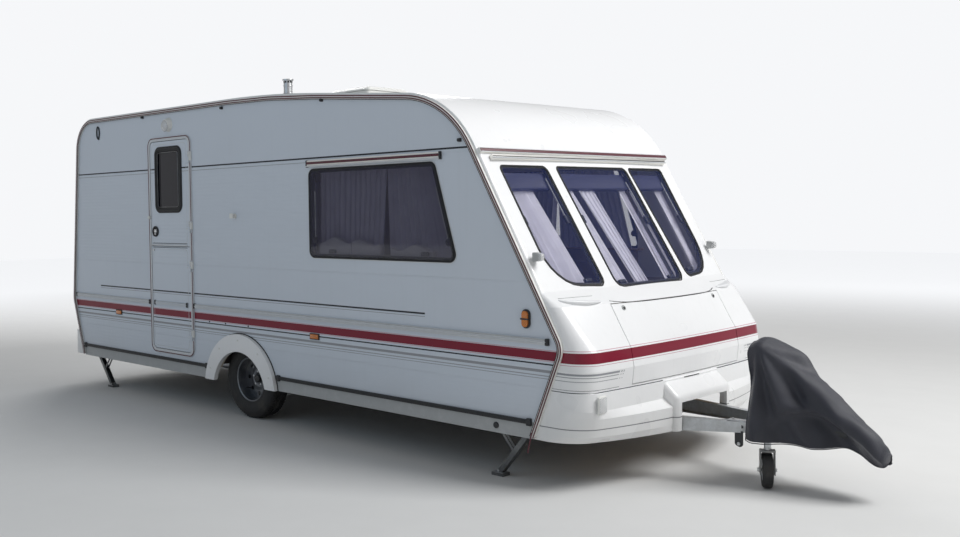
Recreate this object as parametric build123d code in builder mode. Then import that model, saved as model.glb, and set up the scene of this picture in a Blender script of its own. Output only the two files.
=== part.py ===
"""Single-axle travel caravan, standing parked on its wheels, corner steadies and jockey wheel.

Millimetres. +X is forward to the hitch, +Y is left, +Z is up. The origin is on the ground,
under the middle of the overall length and width.
"""

from build123d import *
import math
import os

os.makedirs("parts", exist_ok=True)

# Body
BODY_WIDTH = 2180
WALL = 30
SKIN = 28
FLOOR_Z = 390
FLOOR_THICKNESS = 40
SKIRT_Z = 288
SKIRT_THICKNESS = 12
HALF = BODY_WIDTH / 2
FAR = 9000
INNER_HALF = HALF - WALL

# Side outline corners: x, z, corner radius
REAR_FOOT = (-3417, SKIRT_Z, 10)
REAR_WAIST = (-3600, 836, 150)
REAR_TOP = (-3443, 2562, 280)
ROOF_CROWN = (-450, 2550, 12000)
BROW = (1377, 2382, 705)
CHIN = (2230, 846, 130)
FRONT_FOOT = (2009, SKIRT_Z, 10)
SIDE_OUTLINE = (REAR_FOOT, REAR_WAIST, REAR_TOP, ROOF_CROWN, BROW, CHIN, FRONT_FOOT)

# Front moulding, plan sections: z, x at the centre line, bow at the corners, corner radius
LEDGE_Z = 1120
CAP_Z = 2031
BUMPER_LEDGE_Z = 440
NOSE_SEAM_Z = 600
NOSE_CREASE_Z = 716
NOSE_SECTIONS = (
    (290, 2510, 250, 235),
    (330, 2509, 190, 220),
    (BUMPER_LEDGE_Z, 2509, 150, 200),
    (BUMPER_LEDGE_Z + 46, 2440, 62, 150),
    (NOSE_SEAM_Z - 8, 2438, 60, 150),
    (NOSE_SEAM_Z, 2428, 60, 150),
    (NOSE_CREASE_Z, 2436, 46, 150),
    (830, 2414, 38, 150),
    (1085, 2299, 115, 80),
    (LEDGE_Z, 2236, 100, 60),
)
PANEL_SECTIONS = (
    (LEDGE_Z, 2236, 100, 60),
    (1168, 2149, 75, 30),
    (CAP_Z, 1617, 6, 20),
)
SECTION_BACK = 1400
ROOF_SEAM_X = 1040
REAR_SEAM_Z = 2300

# Running gear
WHEEL_X = -868
TYRE_RADIUS = 315
TYRE_WIDTH = 185
RIM_RADIUS = 178
WHEEL_INSET = 160
WHEEL_Y = HALF - WHEEL_INSET
WHEEL_HOLE_RADIUS = 20.05
ARCH_Z = 204
ARCH_RADIUS = 347
SPAT_RADIUS = 464
SPAT_Z = 228
SPAT_PROUD = 36
WHEEL_BOX_CLEARANCE = 70
WHEEL_BOX_INNER_Y = WHEEL_Y - TYRE_WIDTH - 25
WHEEL_BOX_WALL = 12

# Entrance door
DOOR_REAR_X = -2187
DOOR_FRONT_X = -1515
DOOR_BOTTOM_Z = 438
DOOR_TOP_Z = 2335
DOOR_FRAME_WIDTH = 34
DOOR_FRAME_PROUD = 12
DOOR_CORNER = 70
DOOR_GAP = 5
DOOR_SPLIT_Z = 1381
LEAF_THICKNESS = 35
LEAF_PROUD = 8
HINGE_X = -1535
HINGE_OUT = 21
HINGE_RADIUS = 8
HINGE_LENGTH = 96
HINGE_ZS = (2143, 1550, 1218, 629)
DOOR_WINDOW = (-2062, -1664, 1684, 2238)
DOOR_WINDOW_CORNER = 60

# Windows
PANE = 5
FRAME_WIDTH = 22
WINDOW_SILL_Z = 1335
WINDOW_HEAD_Z = 1971
SIDE_WINDOW_X = (9, 1429)
SIDE_WINDOW_RAKE = 187
REAR_SIDE_WINDOW_X = (-2350, -1400)
WINDOW_CORNER = 45
REAR_WINDOW = (1360, 560)
REAR_WINDOW_Z = 1650

# Toilet cassette opening in the left wall: x and z limits
CASSETTE = (-2640, -2300, 500, 840)

# Gas locker
LID_INSET = 447
LID_HALF_WIDTH = HALF - LID_INSET
LID_BOTTOM_Z = 612
LID_TOP_Z = 1078
LID_GAP = 5
LOCKER_BACK_X = 1830
LOCKER_HALF_WIDTH = LID_HALF_WIDTH + 77
LOCKER_FLOOR_Z = 440
LOCKER_BOARD = 12

# Hitch
BALL_X = 3465
BALL_Z = 352
BALL_SOCKET_RADIUS = 25.4
ARM_HEIGHT = 100
ARM_FRONT_HEIGHT = 62
ARM_TAPER_X = (2200, 2900)
ARM_WIDTH = 45
ARM_TOP_Z = 374
ARM_STEEL = 4
ARM_CLEARANCE = 6
ARM_BACK = (1300, HALF - 486)
ARM_FRONT = (3150, 62)

# Jockey wheel
JOCKEY_X = 3005
JOCKEY_Y = -170
JOCKEY_YAW = -60
JOCKEY_TRAIL = 35
JOCKEY_WHEEL_RADIUS = 105
JOCKEY_WHEEL_WIDTH = 62
JOCKEY_TUBE_RADIUS = 24
JOCKEY_INNER_RADIUS = 20

# Corner steadies
STEADY_FRONT_X = 1925
STEADY_REAR_X = -3290
STEADY_INSET = 90
STEADY_Y = HALF - STEADY_INSET
STEADY_Z = 305
STEADY_LEG = 369
STEADY_PIN = 180
FOOT_RADIUS = 20

# Roof
ROOFLIGHT_X = -15
ROOFLIGHT_Y = -450
ROOFLIGHT_SIZE = 430
ROOFLIGHT_HATCH = 360
FLUE_X = -487
FLUE_Y = 220 - HALF
FLUE_RADIUS = 33
FLUE_CAP_RADIUS = 43

SIDES = ((-1, "right"), (1, "left"))


def flank(side, y):
    """The upright plane at distance y out from the centre line, drawn on in x and z."""
    return Plane.XZ.offset(-side * y)


def outward(side, depth):
    """The extrusion amount that goes outward by a depth from a flank plane."""
    return -side * depth


with BuildSketch() as outline:
    with BuildLine():
        FilletPolyline(
            *[(x, z) for x, z, r in SIDE_OUTLINE],
            radius=[r for x, z, r in SIDE_OUTLINE],
            close=True,
        )
    make_face()


def outline_face(grow=0):
    """The side outline as a sketch, grown or shrunk all round."""
    with BuildSketch() as s:
        add(outline.sketch)
        if grow:
            offset(amount=grow)
    return s.sketch


def window_face(x0, x1, z0, z1, corner, rake=0, shrink=0):
    """A rounded window outline, its front edge raked back towards the top."""
    with BuildSketch() as s:
        with BuildLine():
            FilletPolyline((x0, z0), (x1, z0), (x1 - rake, z1), (x0, z1), radius=corner, close=True)
        make_face()
        if shrink:
            offset(amount=-shrink)
    return s.sketch


def box(x0, x1, y0, y1, z0, z1, mode=Mode.ADD):
    """A box between two corners."""
    with Locations(((x0 + x1) / 2, (y0 + y1) / 2, (z0 + z1) / 2)):
        Box(x1 - x0, y1 - y0, z1 - z0, mode=mode)


ARM_ANGLE = math.degrees(math.atan2(ARM_BACK[1] - ARM_FRONT[1], ARM_FRONT[0] - ARM_BACK[0]))
ARM_LENGTH = math.dist(ARM_BACK, ARM_FRONT)
ARM_COSINE = math.cos(math.radians(ARM_ANGLE))


def arm_face_y(x):
    """How far out an arm's outer face stands at a place along the draw bar."""
    middle = ARM_BACK[1] - (x - ARM_BACK[0]) * math.tan(math.radians(ARM_ANGLE))
    return middle + ARM_WIDTH / 2 / ARM_COSINE


def plan_face(centre, bow, corner, inset):
    """One plan section of the front moulding, open ended at the back."""
    half = HALF - inset
    nose = centre - inset
    cheek = centre - bow - inset
    with BuildSketch() as s:
        with BuildLine():
            Polyline((cheek, half), (SECTION_BACK, half), (SECTION_BACK, -half), (cheek, -half))
            ThreePointArc((cheek, -half), (nose, 0), (cheek, half))
        make_face()
        fillet(s.vertices().sort_by(Axis.X)[-2:], radius=max(corner - inset, 4))
    return s.sketch


def front_solid(sections, inset):
    """The front moulding's outer or inner form between the heights of its sections."""
    with BuildPart() as p:
        for z, centre, bow, corner in sections:
            with BuildSketch(Plane.XY.offset(z)):
                add(plan_face(centre, bow, corner, inset))
        loft(ruled=True)
    return p.part


with BuildPart() as wall_slabs:
    for side, name in SIDES:
        with BuildSketch(flank(side, INNER_HALF)):
            add(outline_face())
        extrude(amount=outward(side, WALL))

nose_outer = front_solid(NOSE_SECTIONS, 0)
nose_inner = front_solid(NOSE_SECTIONS, SKIN)
panel_outer = front_solid(PANEL_SECTIONS, 0)
panel_inner = front_solid(PANEL_SECTIONS, SKIN + 4)

# Side walls
DOOR_HOLE = (
    DOOR_REAR_X + DOOR_FRAME_WIDTH / 2,
    DOOR_FRONT_X - DOOR_FRAME_WIDTH / 2,
    DOOR_BOTTOM_Z + DOOR_FRAME_WIDTH / 2,
    DOOR_TOP_Z - DOOR_FRAME_WIDTH / 2,
)
SIDE_WINDOWS = {
    "right": ((SIDE_WINDOW_X, SIDE_WINDOW_RAKE),),
    "left": ((SIDE_WINDOW_X, SIDE_WINDOW_RAKE), (REAR_SIDE_WINDOW_X, 0)),
}
ARCH_HOLE = ARCH_RADIUS + 13

for side, name in SIDES:
    with BuildPart() as side_wall:
        with BuildSketch(flank(side, INNER_HALF)):
            add(outline_face())
            with Locations(((REAR_FOOT[0] + FRONT_FOOT[0]) / 2, (SKIRT_Z + FLOOR_Z) / 2 - 50)):
                Rectangle(FAR, FLOOR_Z - SKIRT_Z + 100, mode=Mode.SUBTRACT)
            with Locations((WHEEL_X, ARCH_Z)):
                Circle(ARCH_HOLE, mode=Mode.SUBTRACT)
            for (x0, x1), rake in SIDE_WINDOWS[name]:
                add(
                    window_face(x0, x1, WINDOW_SILL_Z, WINDOW_HEAD_Z, WINDOW_CORNER, rake),
                    mode=Mode.SUBTRACT,
                )
            if side < 0:
                add(window_face(*DOOR_HOLE, DOOR_CORNER), mode=Mode.SUBTRACT)
            else:
                x0, x1, z0, z1 = CASSETTE
                add(window_face(x0, x1, z0, z1, 4), mode=Mode.SUBTRACT)
        extrude(amount=outward(side, WALL))
    side_wall.part.label = f"side_wall_{name}"
    export_step(side_wall.part, f"parts/side_wall_{name}.step")

# Shell band that closes the side walls: rear panel, roof and front cap
with BuildSketch() as shell_band:
    add(outline_face(SKIN))
    add(outline_face(), mode=Mode.SUBTRACT)


def band(x0, x1, z0, z1):
    """A length of the shell band, as wide as the body."""
    with BuildSketch(Plane.XZ) as s:
        add(shell_band.sketch)
        with Locations(((x0 + x1) / 2, (z0 + z1) / 2)):
            Rectangle(x1 - x0, z1 - z0, mode=Mode.INTERSECT)
    return s.sketch


with BuildPart() as rear_panel:
    add(extrude(band(-FAR, REAR_TOP[0] + 443, FLOOR_Z, REAR_SEAM_Z), amount=HALF, both=True))
REAR_LEAN = math.degrees(
    math.atan2(REAR_TOP[0] - REAR_WAIST[0], REAR_TOP[1] - REAR_WAIST[1])
)
REAR_SLOPE = math.tan(math.radians(REAR_LEAN))
REAR_FACE_X = (
    REAR_WAIST[0]
    + (REAR_WINDOW_Z - REAR_WAIST[1]) * REAR_SLOPE
    - SKIN / math.cos(math.radians(REAR_LEAN))
)
rear_plane = Plane(
    origin=(REAR_FACE_X, 0, REAR_WINDOW_Z),
    x_dir=(0, -1, 0),
    z_dir=(-math.cos(math.radians(REAR_LEAN)), 0, math.sin(math.radians(REAR_LEAN))),
)
with rear_panel:
    with BuildSketch(rear_plane):
        RectangleRounded(*REAR_WINDOW, WINDOW_CORNER)
    extrude(amount=-2 * SKIN, mode=Mode.SUBTRACT)
rear_panel.part.label = "rear_panel"
export_step(rear_panel.part, "parts/rear_panel.step")

with BuildPart() as roof_panel:
    add(extrude(band(-FAR, ROOF_SEAM_X, REAR_SEAM_Z, FAR), amount=HALF, both=True))
    box(
        ROOFLIGHT_X - ROOFLIGHT_HATCH / 2,
        ROOFLIGHT_X + ROOFLIGHT_HATCH / 2,
        ROOFLIGHT_Y - ROOFLIGHT_HATCH / 2,
        ROOFLIGHT_Y + ROOFLIGHT_HATCH / 2,
        REAR_SEAM_Z,
        FAR,
        mode=Mode.SUBTRACT,
    )
roof_panel.part.label = "roof_panel"
export_step(roof_panel.part, "parts/roof_panel.step")

with BuildPart() as front_cap:
    add(extrude(band(ROOF_SEAM_X, FAR, CAP_Z, FAR), amount=HALF, both=True))
front_cap.part.label = "front_cap"
export_step(front_cap.part, "parts/front_cap.step")

# Front window panel
FRONT_WINDOW_TOP = 1935
FRONT_WINDOW_BOTTOM = 1165
FRONT_WINDOWS = (
    # inner edge y at the top, inner edge y at the bottom, outer edge y, lower outer corner radius
    (-487, -492, 137 - HALF, 230),
    (487, 512, HALF - 165, 230),
)
CENTRE_WINDOW = (-378, -378, 440, 430)


def front_window_face(inner_top, inner_bottom, outer, corner, shrink=0):
    """A side front window seen from ahead, with its large lower outer corner."""
    turn = 1 if outer > 0 else -1
    with BuildSketch() as s:
        with BuildLine():
            FilletPolyline(
                (inner_top, FRONT_WINDOW_TOP),
                (outer, FRONT_WINDOW_TOP),
                (outer - turn * 15, FRONT_WINDOW_BOTTOM + 40),
                (inner_bottom, FRONT_WINDOW_BOTTOM + 15),
                radius=[25, 25, corner, 45],
                close=True,
            )
        make_face()
        if shrink:
            offset(amount=-shrink)
    return s.sketch


def centre_window_face(shrink=0):
    """The centre front window seen from ahead."""
    left_top, left_bottom, right_top, right_bottom = CENTRE_WINDOW
    with BuildSketch() as s:
        with BuildLine():
            FilletPolyline(
                (left_top, FRONT_WINDOW_TOP),
                (right_top, FRONT_WINDOW_TOP),
                (right_bottom, FRONT_WINDOW_BOTTOM),
                (left_bottom, FRONT_WINDOW_BOTTOM),
                radius=[25, 25, 60, 60],
                close=True,
            )
        make_face()
        if shrink:
            offset(amount=-shrink)
    return s.sketch


def front_window_faces(shrink=0):
    """All three front window outlines."""
    return [front_window_face(*row, shrink) for row in FRONT_WINDOWS] + [centre_window_face(shrink)]


SEAL = 14
with BuildPart() as front_panel:
    add(panel_outer)
    add(panel_inner, mode=Mode.SUBTRACT)
    add(wall_slabs.part, mode=Mode.SUBTRACT)
    with BuildSketch(Plane.YZ.offset(SECTION_BACK)):
        for face in front_window_faces():
            add(face)
    extrude(amount=1500, mode=Mode.SUBTRACT)
front_panel.part.label = "front_panel"
export_step(front_panel.part, "parts/front_panel.step")

with BuildPart() as front_windows:
    add(front_solid(PANEL_SECTIONS, 2))
    add(front_solid(PANEL_SECTIONS, 2 + PANE), mode=Mode.SUBTRACT)
    with BuildSketch(Plane.YZ.offset(SECTION_BACK)):
        for face in front_window_faces(2):
            add(face)
    extrude(amount=1500, mode=Mode.INTERSECT)
front_windows.part.label = "front_windows"
export_step(front_windows.part, "parts/front_windows.step")

# Lower nose with the gas locker opening and the draw bar fairing
FAIRING_HALF = 335
FAIRING_WALL = 55
FAIRING_TOP_Z = 502
FAIRING_BACK_Z = 585
FAIRING_MOUTH_Z = 464
FAIRING_FRONT_X = 2524
FAIRING_BACK_X = 2300
FAIRING_TOP_X = NOSE_SECTIONS[5][1] + 8
FAIRING_ROUND = 32
with BuildPart() as lid_zone:
    box(1700, 3000, -LID_HALF_WIDTH, LID_HALF_WIDTH, LID_BOTTOM_Z, LID_TOP_Z)
with BuildPart() as fairing:
    with BuildSketch(Plane.XZ) as fairing_side:
        Polygon(
            (FAIRING_BACK_X, SKIRT_Z + 2),
            (FAIRING_FRONT_X, SKIRT_Z + 2),
            (FAIRING_FRONT_X, FAIRING_TOP_Z),
            (FAIRING_TOP_X, FAIRING_BACK_Z),
            (FAIRING_BACK_X, FAIRING_BACK_Z + 20),
            align=None,
        )
        hood_corners = fairing_side.vertices().filter_by(
            lambda v: v.X > FAIRING_BACK_X + 10 and v.Y > FAIRING_TOP_Z - 10
        )
        fillet(hood_corners, radius=40)
    extrude(amount=FAIRING_HALF, both=True)
    sides = fairing.faces().filter_by(Axis.Y).edges()
    fillet(
        sides.filter_by(lambda e: e.center().X > FAIRING_BACK_X + 10 and e.center().Z > SKIRT_Z + 20),
        radius=FAIRING_ROUND,
    )
with BuildPart() as front_nose:
    add(nose_outer)
    add(fairing.part)
    add(nose_inner, mode=Mode.SUBTRACT)
    box(
        2000,
        3000,
        FAIRING_WALL - FAIRING_HALF,
        FAIRING_HALF - FAIRING_WALL,
        0,
        FAIRING_MOUTH_Z,
        mode=Mode.SUBTRACT,
    )
    with BuildSketch(Plane.XY):
        Polygon(
            *[(x, -arm_face_y(x) - ARM_CLEARANCE) for x in (FAIRING_BACK_X - 300, FAIRING_FRONT_X)],
            *[(x, arm_face_y(x) + ARM_CLEARANCE) for x in (FAIRING_FRONT_X, FAIRING_BACK_X - 300)],
            align=None,
        )
    extrude(amount=FAIRING_MOUTH_Z, mode=Mode.SUBTRACT)
    add(wall_slabs.part, mode=Mode.SUBTRACT)
    box(
        1900,
        3000,
        -LID_HALF_WIDTH - LID_GAP,
        LID_HALF_WIDTH + LID_GAP,
        LID_BOTTOM_Z - LID_GAP,
        LID_TOP_Z + LID_GAP,
        mode=Mode.SUBTRACT,
    )
front_nose.part.label = "front_nose"
export_step(front_nose.part, "parts/front_nose.step")

with BuildPart() as gas_locker_lid:
    add(nose_outer)
    add(nose_inner, mode=Mode.SUBTRACT)
    add(lid_zone.part, mode=Mode.INTERSECT)
gas_locker_lid.part.label = "gas_locker_lid"
export_step(gas_locker_lid.part, "parts/gas_locker_lid.step")

with BuildPart() as gas_locker_box:
    box(
        LOCKER_BACK_X,
        NOSE_SECTIONS[0][1],
        -LOCKER_HALF_WIDTH - LOCKER_BOARD,
        LOCKER_HALF_WIDTH + LOCKER_BOARD,
        LOCKER_FLOOR_Z,
        LEDGE_Z - 30,
    )
    box(
        LOCKER_BACK_X + LOCKER_BOARD,
        NOSE_SECTIONS[0][1] + 1,
        -LOCKER_HALF_WIDTH,
        LOCKER_HALF_WIDTH,
        LOCKER_FLOOR_Z + LOCKER_BOARD,
        LEDGE_Z + 30,
        mode=Mode.SUBTRACT,
    )
    add(front_solid(NOSE_SECTIONS, SKIN + 22), mode=Mode.INTERSECT)
    box(
        2000,
        3000,
        -LID_HALF_WIDTH - 30,
        LID_HALF_WIDTH + 30,
        LOCKER_FLOOR_Z + LOCKER_BOARD,
        LEDGE_Z,
        mode=Mode.SUBTRACT,
    )
gas_locker_box.part.label = "gas_locker_box"
export_step(gas_locker_box.part, "parts/gas_locker_box.step")

# Floor, cut away over the wheels
BOX_HALF_LENGTH = TYRE_RADIUS + WHEEL_BOX_CLEARANCE
with BuildPart() as floor_panel:
    with BuildSketch(Plane.XZ):
        add(outline_face(-1))
        with Locations((0, FLOOR_Z + 10 + FLOOR_THICKNESS / 2)):
            Rectangle(FAR, FLOOR_THICKNESS, mode=Mode.INTERSECT)
    extrude(amount=INNER_HALF, both=True)
    box(LOCKER_BACK_X - 1, FAR, -HALF, HALF, 0, FAR, mode=Mode.SUBTRACT)
    for side, name in SIDES:
        box(
            WHEEL_X - BOX_HALF_LENGTH - WHEEL_BOX_WALL,
            WHEEL_X + BOX_HALF_LENGTH + WHEEL_BOX_WALL,
            min(side * (WHEEL_BOX_INNER_Y - WHEEL_BOX_WALL), side * HALF),
            max(side * (WHEEL_BOX_INNER_Y - WHEEL_BOX_WALL), side * HALF),
            0,
            FAR,
            mode=Mode.SUBTRACT,
        )
floor_panel.part.label = "floor_panel"
export_step(floor_panel.part, "parts/floor_panel.step")

WHEEL_BOX_TOP = 2 * TYRE_RADIUS + WHEEL_BOX_CLEARANCE
with BuildPart() as wheel_boxes:
    for side, name in SIDES:
        y_in = side * (WHEEL_BOX_INNER_Y - WHEEL_BOX_WALL)
        y_out = side * INNER_HALF
        box(
            WHEEL_X - BOX_HALF_LENGTH - WHEEL_BOX_WALL,
            WHEEL_X + BOX_HALF_LENGTH + WHEEL_BOX_WALL,
            min(y_in, y_out),
            max(y_in, y_out),
            FLOOR_Z + 10,
            WHEEL_BOX_TOP + WHEEL_BOX_WALL,
        )
        y_in = side * WHEEL_BOX_INNER_Y
        y_out = side * (INNER_HALF + 10)
        box(
            WHEEL_X - BOX_HALF_LENGTH,
            WHEEL_X + BOX_HALF_LENGTH,
            min(y_in, y_out),
            max(y_in, y_out),
            0,
            WHEEL_BOX_TOP,
            mode=Mode.SUBTRACT,
        )
wheel_boxes.part.label = "wheel_boxes"
export_step(wheel_boxes.part, "parts/wheel_boxes.step")

# Wheel spats
with BuildPart() as wheel_spats:
    for side, name in SIDES:
        with BuildSketch(flank(side, HALF)):
            with Locations((WHEEL_X, SPAT_Z)):
                Circle(SPAT_RADIUS)
            with Locations((WHEEL_X, ARCH_Z)):
                Circle(ARCH_RADIUS, mode=Mode.SUBTRACT)
            with Locations((WHEEL_X, SKIRT_Z - 500)):
                Rectangle(2000, 1000, mode=Mode.SUBTRACT)
        extrude(amount=outward(side, SPAT_PROUD))
wheel_spats.part.label = "wheel_spats"
export_step(wheel_spats.part, "parts/wheel_spats.step")

# Skirts below the walls, and the black rail above them
with BuildPart() as side_skirts:
    for side, name in SIDES:
        with BuildSketch(flank(side, HALF - SKIRT_THICKNESS)):
            add(outline_face())
            with Locations((0, (SKIRT_Z + FLOOR_Z) / 2)):
                Rectangle(FAR, FLOOR_Z - SKIRT_Z, mode=Mode.INTERSECT)
            with Locations((WHEEL_X, ARCH_Z)):
                Circle(ARCH_HOLE, mode=Mode.SUBTRACT)
        extrude(amount=outward(side, SKIRT_THICKNESS))
side_skirts.part.label = "side_skirts"
export_step(side_skirts.part, "parts/side_skirts.step")

LOWER_RAIL_HEIGHT = 26
LOWER_RAIL_PROUD = 14
SPAT_REACH = math.sqrt(SPAT_RADIUS**2 - (FLOOR_Z - SPAT_Z) ** 2) + 12
LOWER_RAIL_RUNS = (
    (-3401, WHEEL_X - SPAT_REACH),
    (WHEEL_X + SPAT_REACH, 1988),
)
with BuildPart() as lower_rails:
    for side, name in SIDES:
        for x0, x1 in LOWER_RAIL_RUNS:
            y_in = side * HALF
            y_out = side * (HALF + LOWER_RAIL_PROUD)
            box(
                x0,
                x1,
                min(y_in, y_out),
                max(y_in, y_out),
                FLOOR_Z - LOWER_RAIL_HEIGHT / 2,
                FLOOR_Z + LOWER_RAIL_HEIGHT / 2,
            )
lower_rails.part.label = "lower_rails"
export_step(lower_rails.part, "parts/lower_rails.step")

# Light rub rails above the coloured band
RUB_RAIL_Z = 880
RUB_RAIL_HEIGHT = 36
RUB_RAIL_PROUD = 16
RUB_RAILS = {
    "right": ((-3550, DOOR_REAR_X - 6), (DOOR_FRONT_X + 6, 2133)),
    "left": ((-3550, 2133),),
}
with BuildPart() as rub_rails:
    for side, name in SIDES:
        for x0, x1 in RUB_RAILS[name]:
            y_in = side * HALF
            y_out = side * (HALF + RUB_RAIL_PROUD)
            box(
                x0,
                x1,
                min(y_in, y_out),
                max(y_in, y_out),
                RUB_RAIL_Z - RUB_RAIL_HEIGHT / 2,
                RUB_RAIL_Z + RUB_RAIL_HEIGHT / 2,
            )
rub_rails.part.label = "rub_rails"
export_step(rub_rails.part, "parts/rub_rails.step")

# Rails over the windows, and the strip that covers the seam under the front cap
HEAD_RAIL = (2016, 46, 18)
HEAD_RAILS = {
    # back x, front x
    "right": ((-8, 1303),),
    "left": ((-8, 1303), (-2366, -1384)),
}
FRONT_RAKE = (PANEL_SECTIONS[1][1] - PANEL_SECTIONS[2][1]) / (CAP_Z - PANEL_SECTIONS[1][0])
FRONT_TILT = math.degrees(math.atan(FRONT_RAKE))
FRONT_RAILS = (
    # height up the front, width along the front, proud, half length
    (CAP_Z, 34, 11, HALF),
    (1986, 30, 20, 1012),
)
with BuildPart() as window_rails:
    z_mid, height, proud = HEAD_RAIL
    for side, name in SIDES:
        for x0, x1 in HEAD_RAILS[name]:
            y_in = side * HALF
            y_out = side * (HALF + proud)
            box(x0, x1, min(y_in, y_out), max(y_in, y_out), z_mid - height / 2, z_mid + height / 2)
    for z, width, proud, half_length in FRONT_RAILS:
        x = PANEL_SECTIONS[2][1] + (CAP_Z - z) * FRONT_RAKE
        with Locations(Location((x, 0, z), (0, -FRONT_TILT, 0))):
            Box(2 * proud, 2 * half_length, width)
    add(panel_outer, mode=Mode.SUBTRACT)
    with BuildSketch(Plane.XZ):
        add(outline_face(SKIN))
        with Locations((0, CAP_Z - 2000)):
            Rectangle(FAR, 4000, mode=Mode.SUBTRACT)
    extrude(amount=HALF, both=True, mode=Mode.SUBTRACT)
window_rails.part.label = "window_rails"
export_step(window_rails.part, "parts/window_rails.step")

# Awning rails along the rear, roof and front edges
AWNING_IN = 16
AWNING_OUT = 14
AWNING_PROUD = 16
with BuildPart() as awning_rails:
    for side, name in SIDES:
        with BuildSketch(flank(side, HALF)):
            add(outline_face(AWNING_OUT))
            add(outline_face(-AWNING_IN), mode=Mode.SUBTRACT)
            with Locations((0, SKIRT_Z - 500 + AWNING_IN + 4)):
                Rectangle(FAR, 1000, mode=Mode.SUBTRACT)
        extrude(amount=outward(side, AWNING_PROUD))
awning_rails.part.label = "awning_rails"
export_step(awning_rails.part, "parts/awning_rails.step")

# Side and rear windows: black frames through the wall, panes on top
with BuildPart() as window_frames:
    for side, name in SIDES:
        for (x0, x1), rake in SIDE_WINDOWS[name]:
            frame_args = (x0, x1, WINDOW_SILL_Z, WINDOW_HEAD_Z, WINDOW_CORNER, rake)
            with BuildSketch(flank(side, INNER_HALF)):
                add(window_face(*frame_args))
                add(window_face(*frame_args, FRAME_WIDTH), mode=Mode.SUBTRACT)
            extrude(amount=outward(side, WALL + 6))
    with BuildSketch(rear_plane.offset(-SKIN)):
        RectangleRounded(*REAR_WINDOW, WINDOW_CORNER)
        RectangleRounded(
            REAR_WINDOW[0] - 2 * FRAME_WIDTH,
            REAR_WINDOW[1] - 2 * FRAME_WIDTH,
            WINDOW_CORNER - FRAME_WIDTH,
            mode=Mode.SUBTRACT,
        )
    extrude(amount=SKIN + 6)
    with BuildPart(mode=Mode.PRIVATE) as seal_shell:
        add(front_solid(PANEL_SECTIONS, 2 + PANE))
        add(front_solid(PANEL_SECTIONS, SKIN), mode=Mode.SUBTRACT)
        with BuildSketch(Plane.YZ.offset(SECTION_BACK)):
            for outer, inner in zip(front_window_faces(), front_window_faces(SEAL)):
                add(outer)
                add(inner, mode=Mode.SUBTRACT)
        extrude(amount=1500, mode=Mode.INTERSECT)
    add(seal_shell.part)
window_frames.part.label = "window_frames"
export_step(window_frames.part, "parts/window_frames.step")

with BuildPart() as window_panes:
    for side, name in SIDES:
        for (x0, x1), rake in SIDE_WINDOWS[name]:
            with BuildSketch(flank(side, HALF + 6)):
                add(window_face(x0, x1, WINDOW_SILL_Z, WINDOW_HEAD_Z, WINDOW_CORNER, rake, 4))
            extrude(amount=outward(side, PANE))
    with BuildSketch(rear_plane.offset(6)):
        RectangleRounded(REAR_WINDOW[0] - 8, REAR_WINDOW[1] - 8, WINDOW_CORNER - 4)
    extrude(amount=PANE)
window_panes.part.label = "window_panes"
export_step(window_panes.part, "parts/window_panes.step")

# Door frame with the fixed halves of the hinges
LEAF_LIMITS = (
    DOOR_REAR_X + DOOR_FRAME_WIDTH + DOOR_GAP,
    DOOR_FRONT_X - DOOR_FRAME_WIDTH - DOOR_GAP,
    DOOR_BOTTOM_Z + DOOR_FRAME_WIDTH + DOOR_GAP,
    DOOR_TOP_Z - DOOR_FRAME_WIDTH - DOOR_GAP,
)
HINGE_Y = -HALF - HINGE_OUT
STRAP_OUT = HINGE_OUT - 3
STRAP_THICKNESS = 5
with BuildPart() as door_frame:
    with BuildSketch(flank(-1, HALF)):
        add(window_face(DOOR_REAR_X, DOOR_FRONT_X, DOOR_BOTTOM_Z, DOOR_TOP_Z, DOOR_CORNER + 17))
    extrude(amount=DOOR_FRAME_PROUD)
    with BuildSketch(flank(-1, INNER_HALF)):
        add(window_face(*DOOR_HOLE, DOOR_CORNER))
    extrude(amount=WALL)
    with BuildSketch(flank(-1, INNER_HALF)):
        add(window_face(*DOOR_HOLE, DOOR_CORNER, 0, DOOR_FRAME_WIDTH / 2))
    extrude(amount=WALL + 50, mode=Mode.SUBTRACT)
    for z in HINGE_ZS:
        with Locations((HINGE_X, HINGE_Y, z + HINGE_LENGTH / 4)):
            Cylinder(HINGE_RADIUS, HINGE_LENGTH / 2 - 1)
        box(
            HINGE_X,
            DOOR_FRONT_X - 3,
            -HALF - DOOR_FRAME_PROUD - STRAP_THICKNESS,
            -HALF - DOOR_FRAME_PROUD,
            z + 1,
            z + HINGE_LENGTH / 2 - 1,
        )
door_frame.part.label = "door_frame"
export_step(door_frame.part, "parts/door_frame.step")

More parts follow.
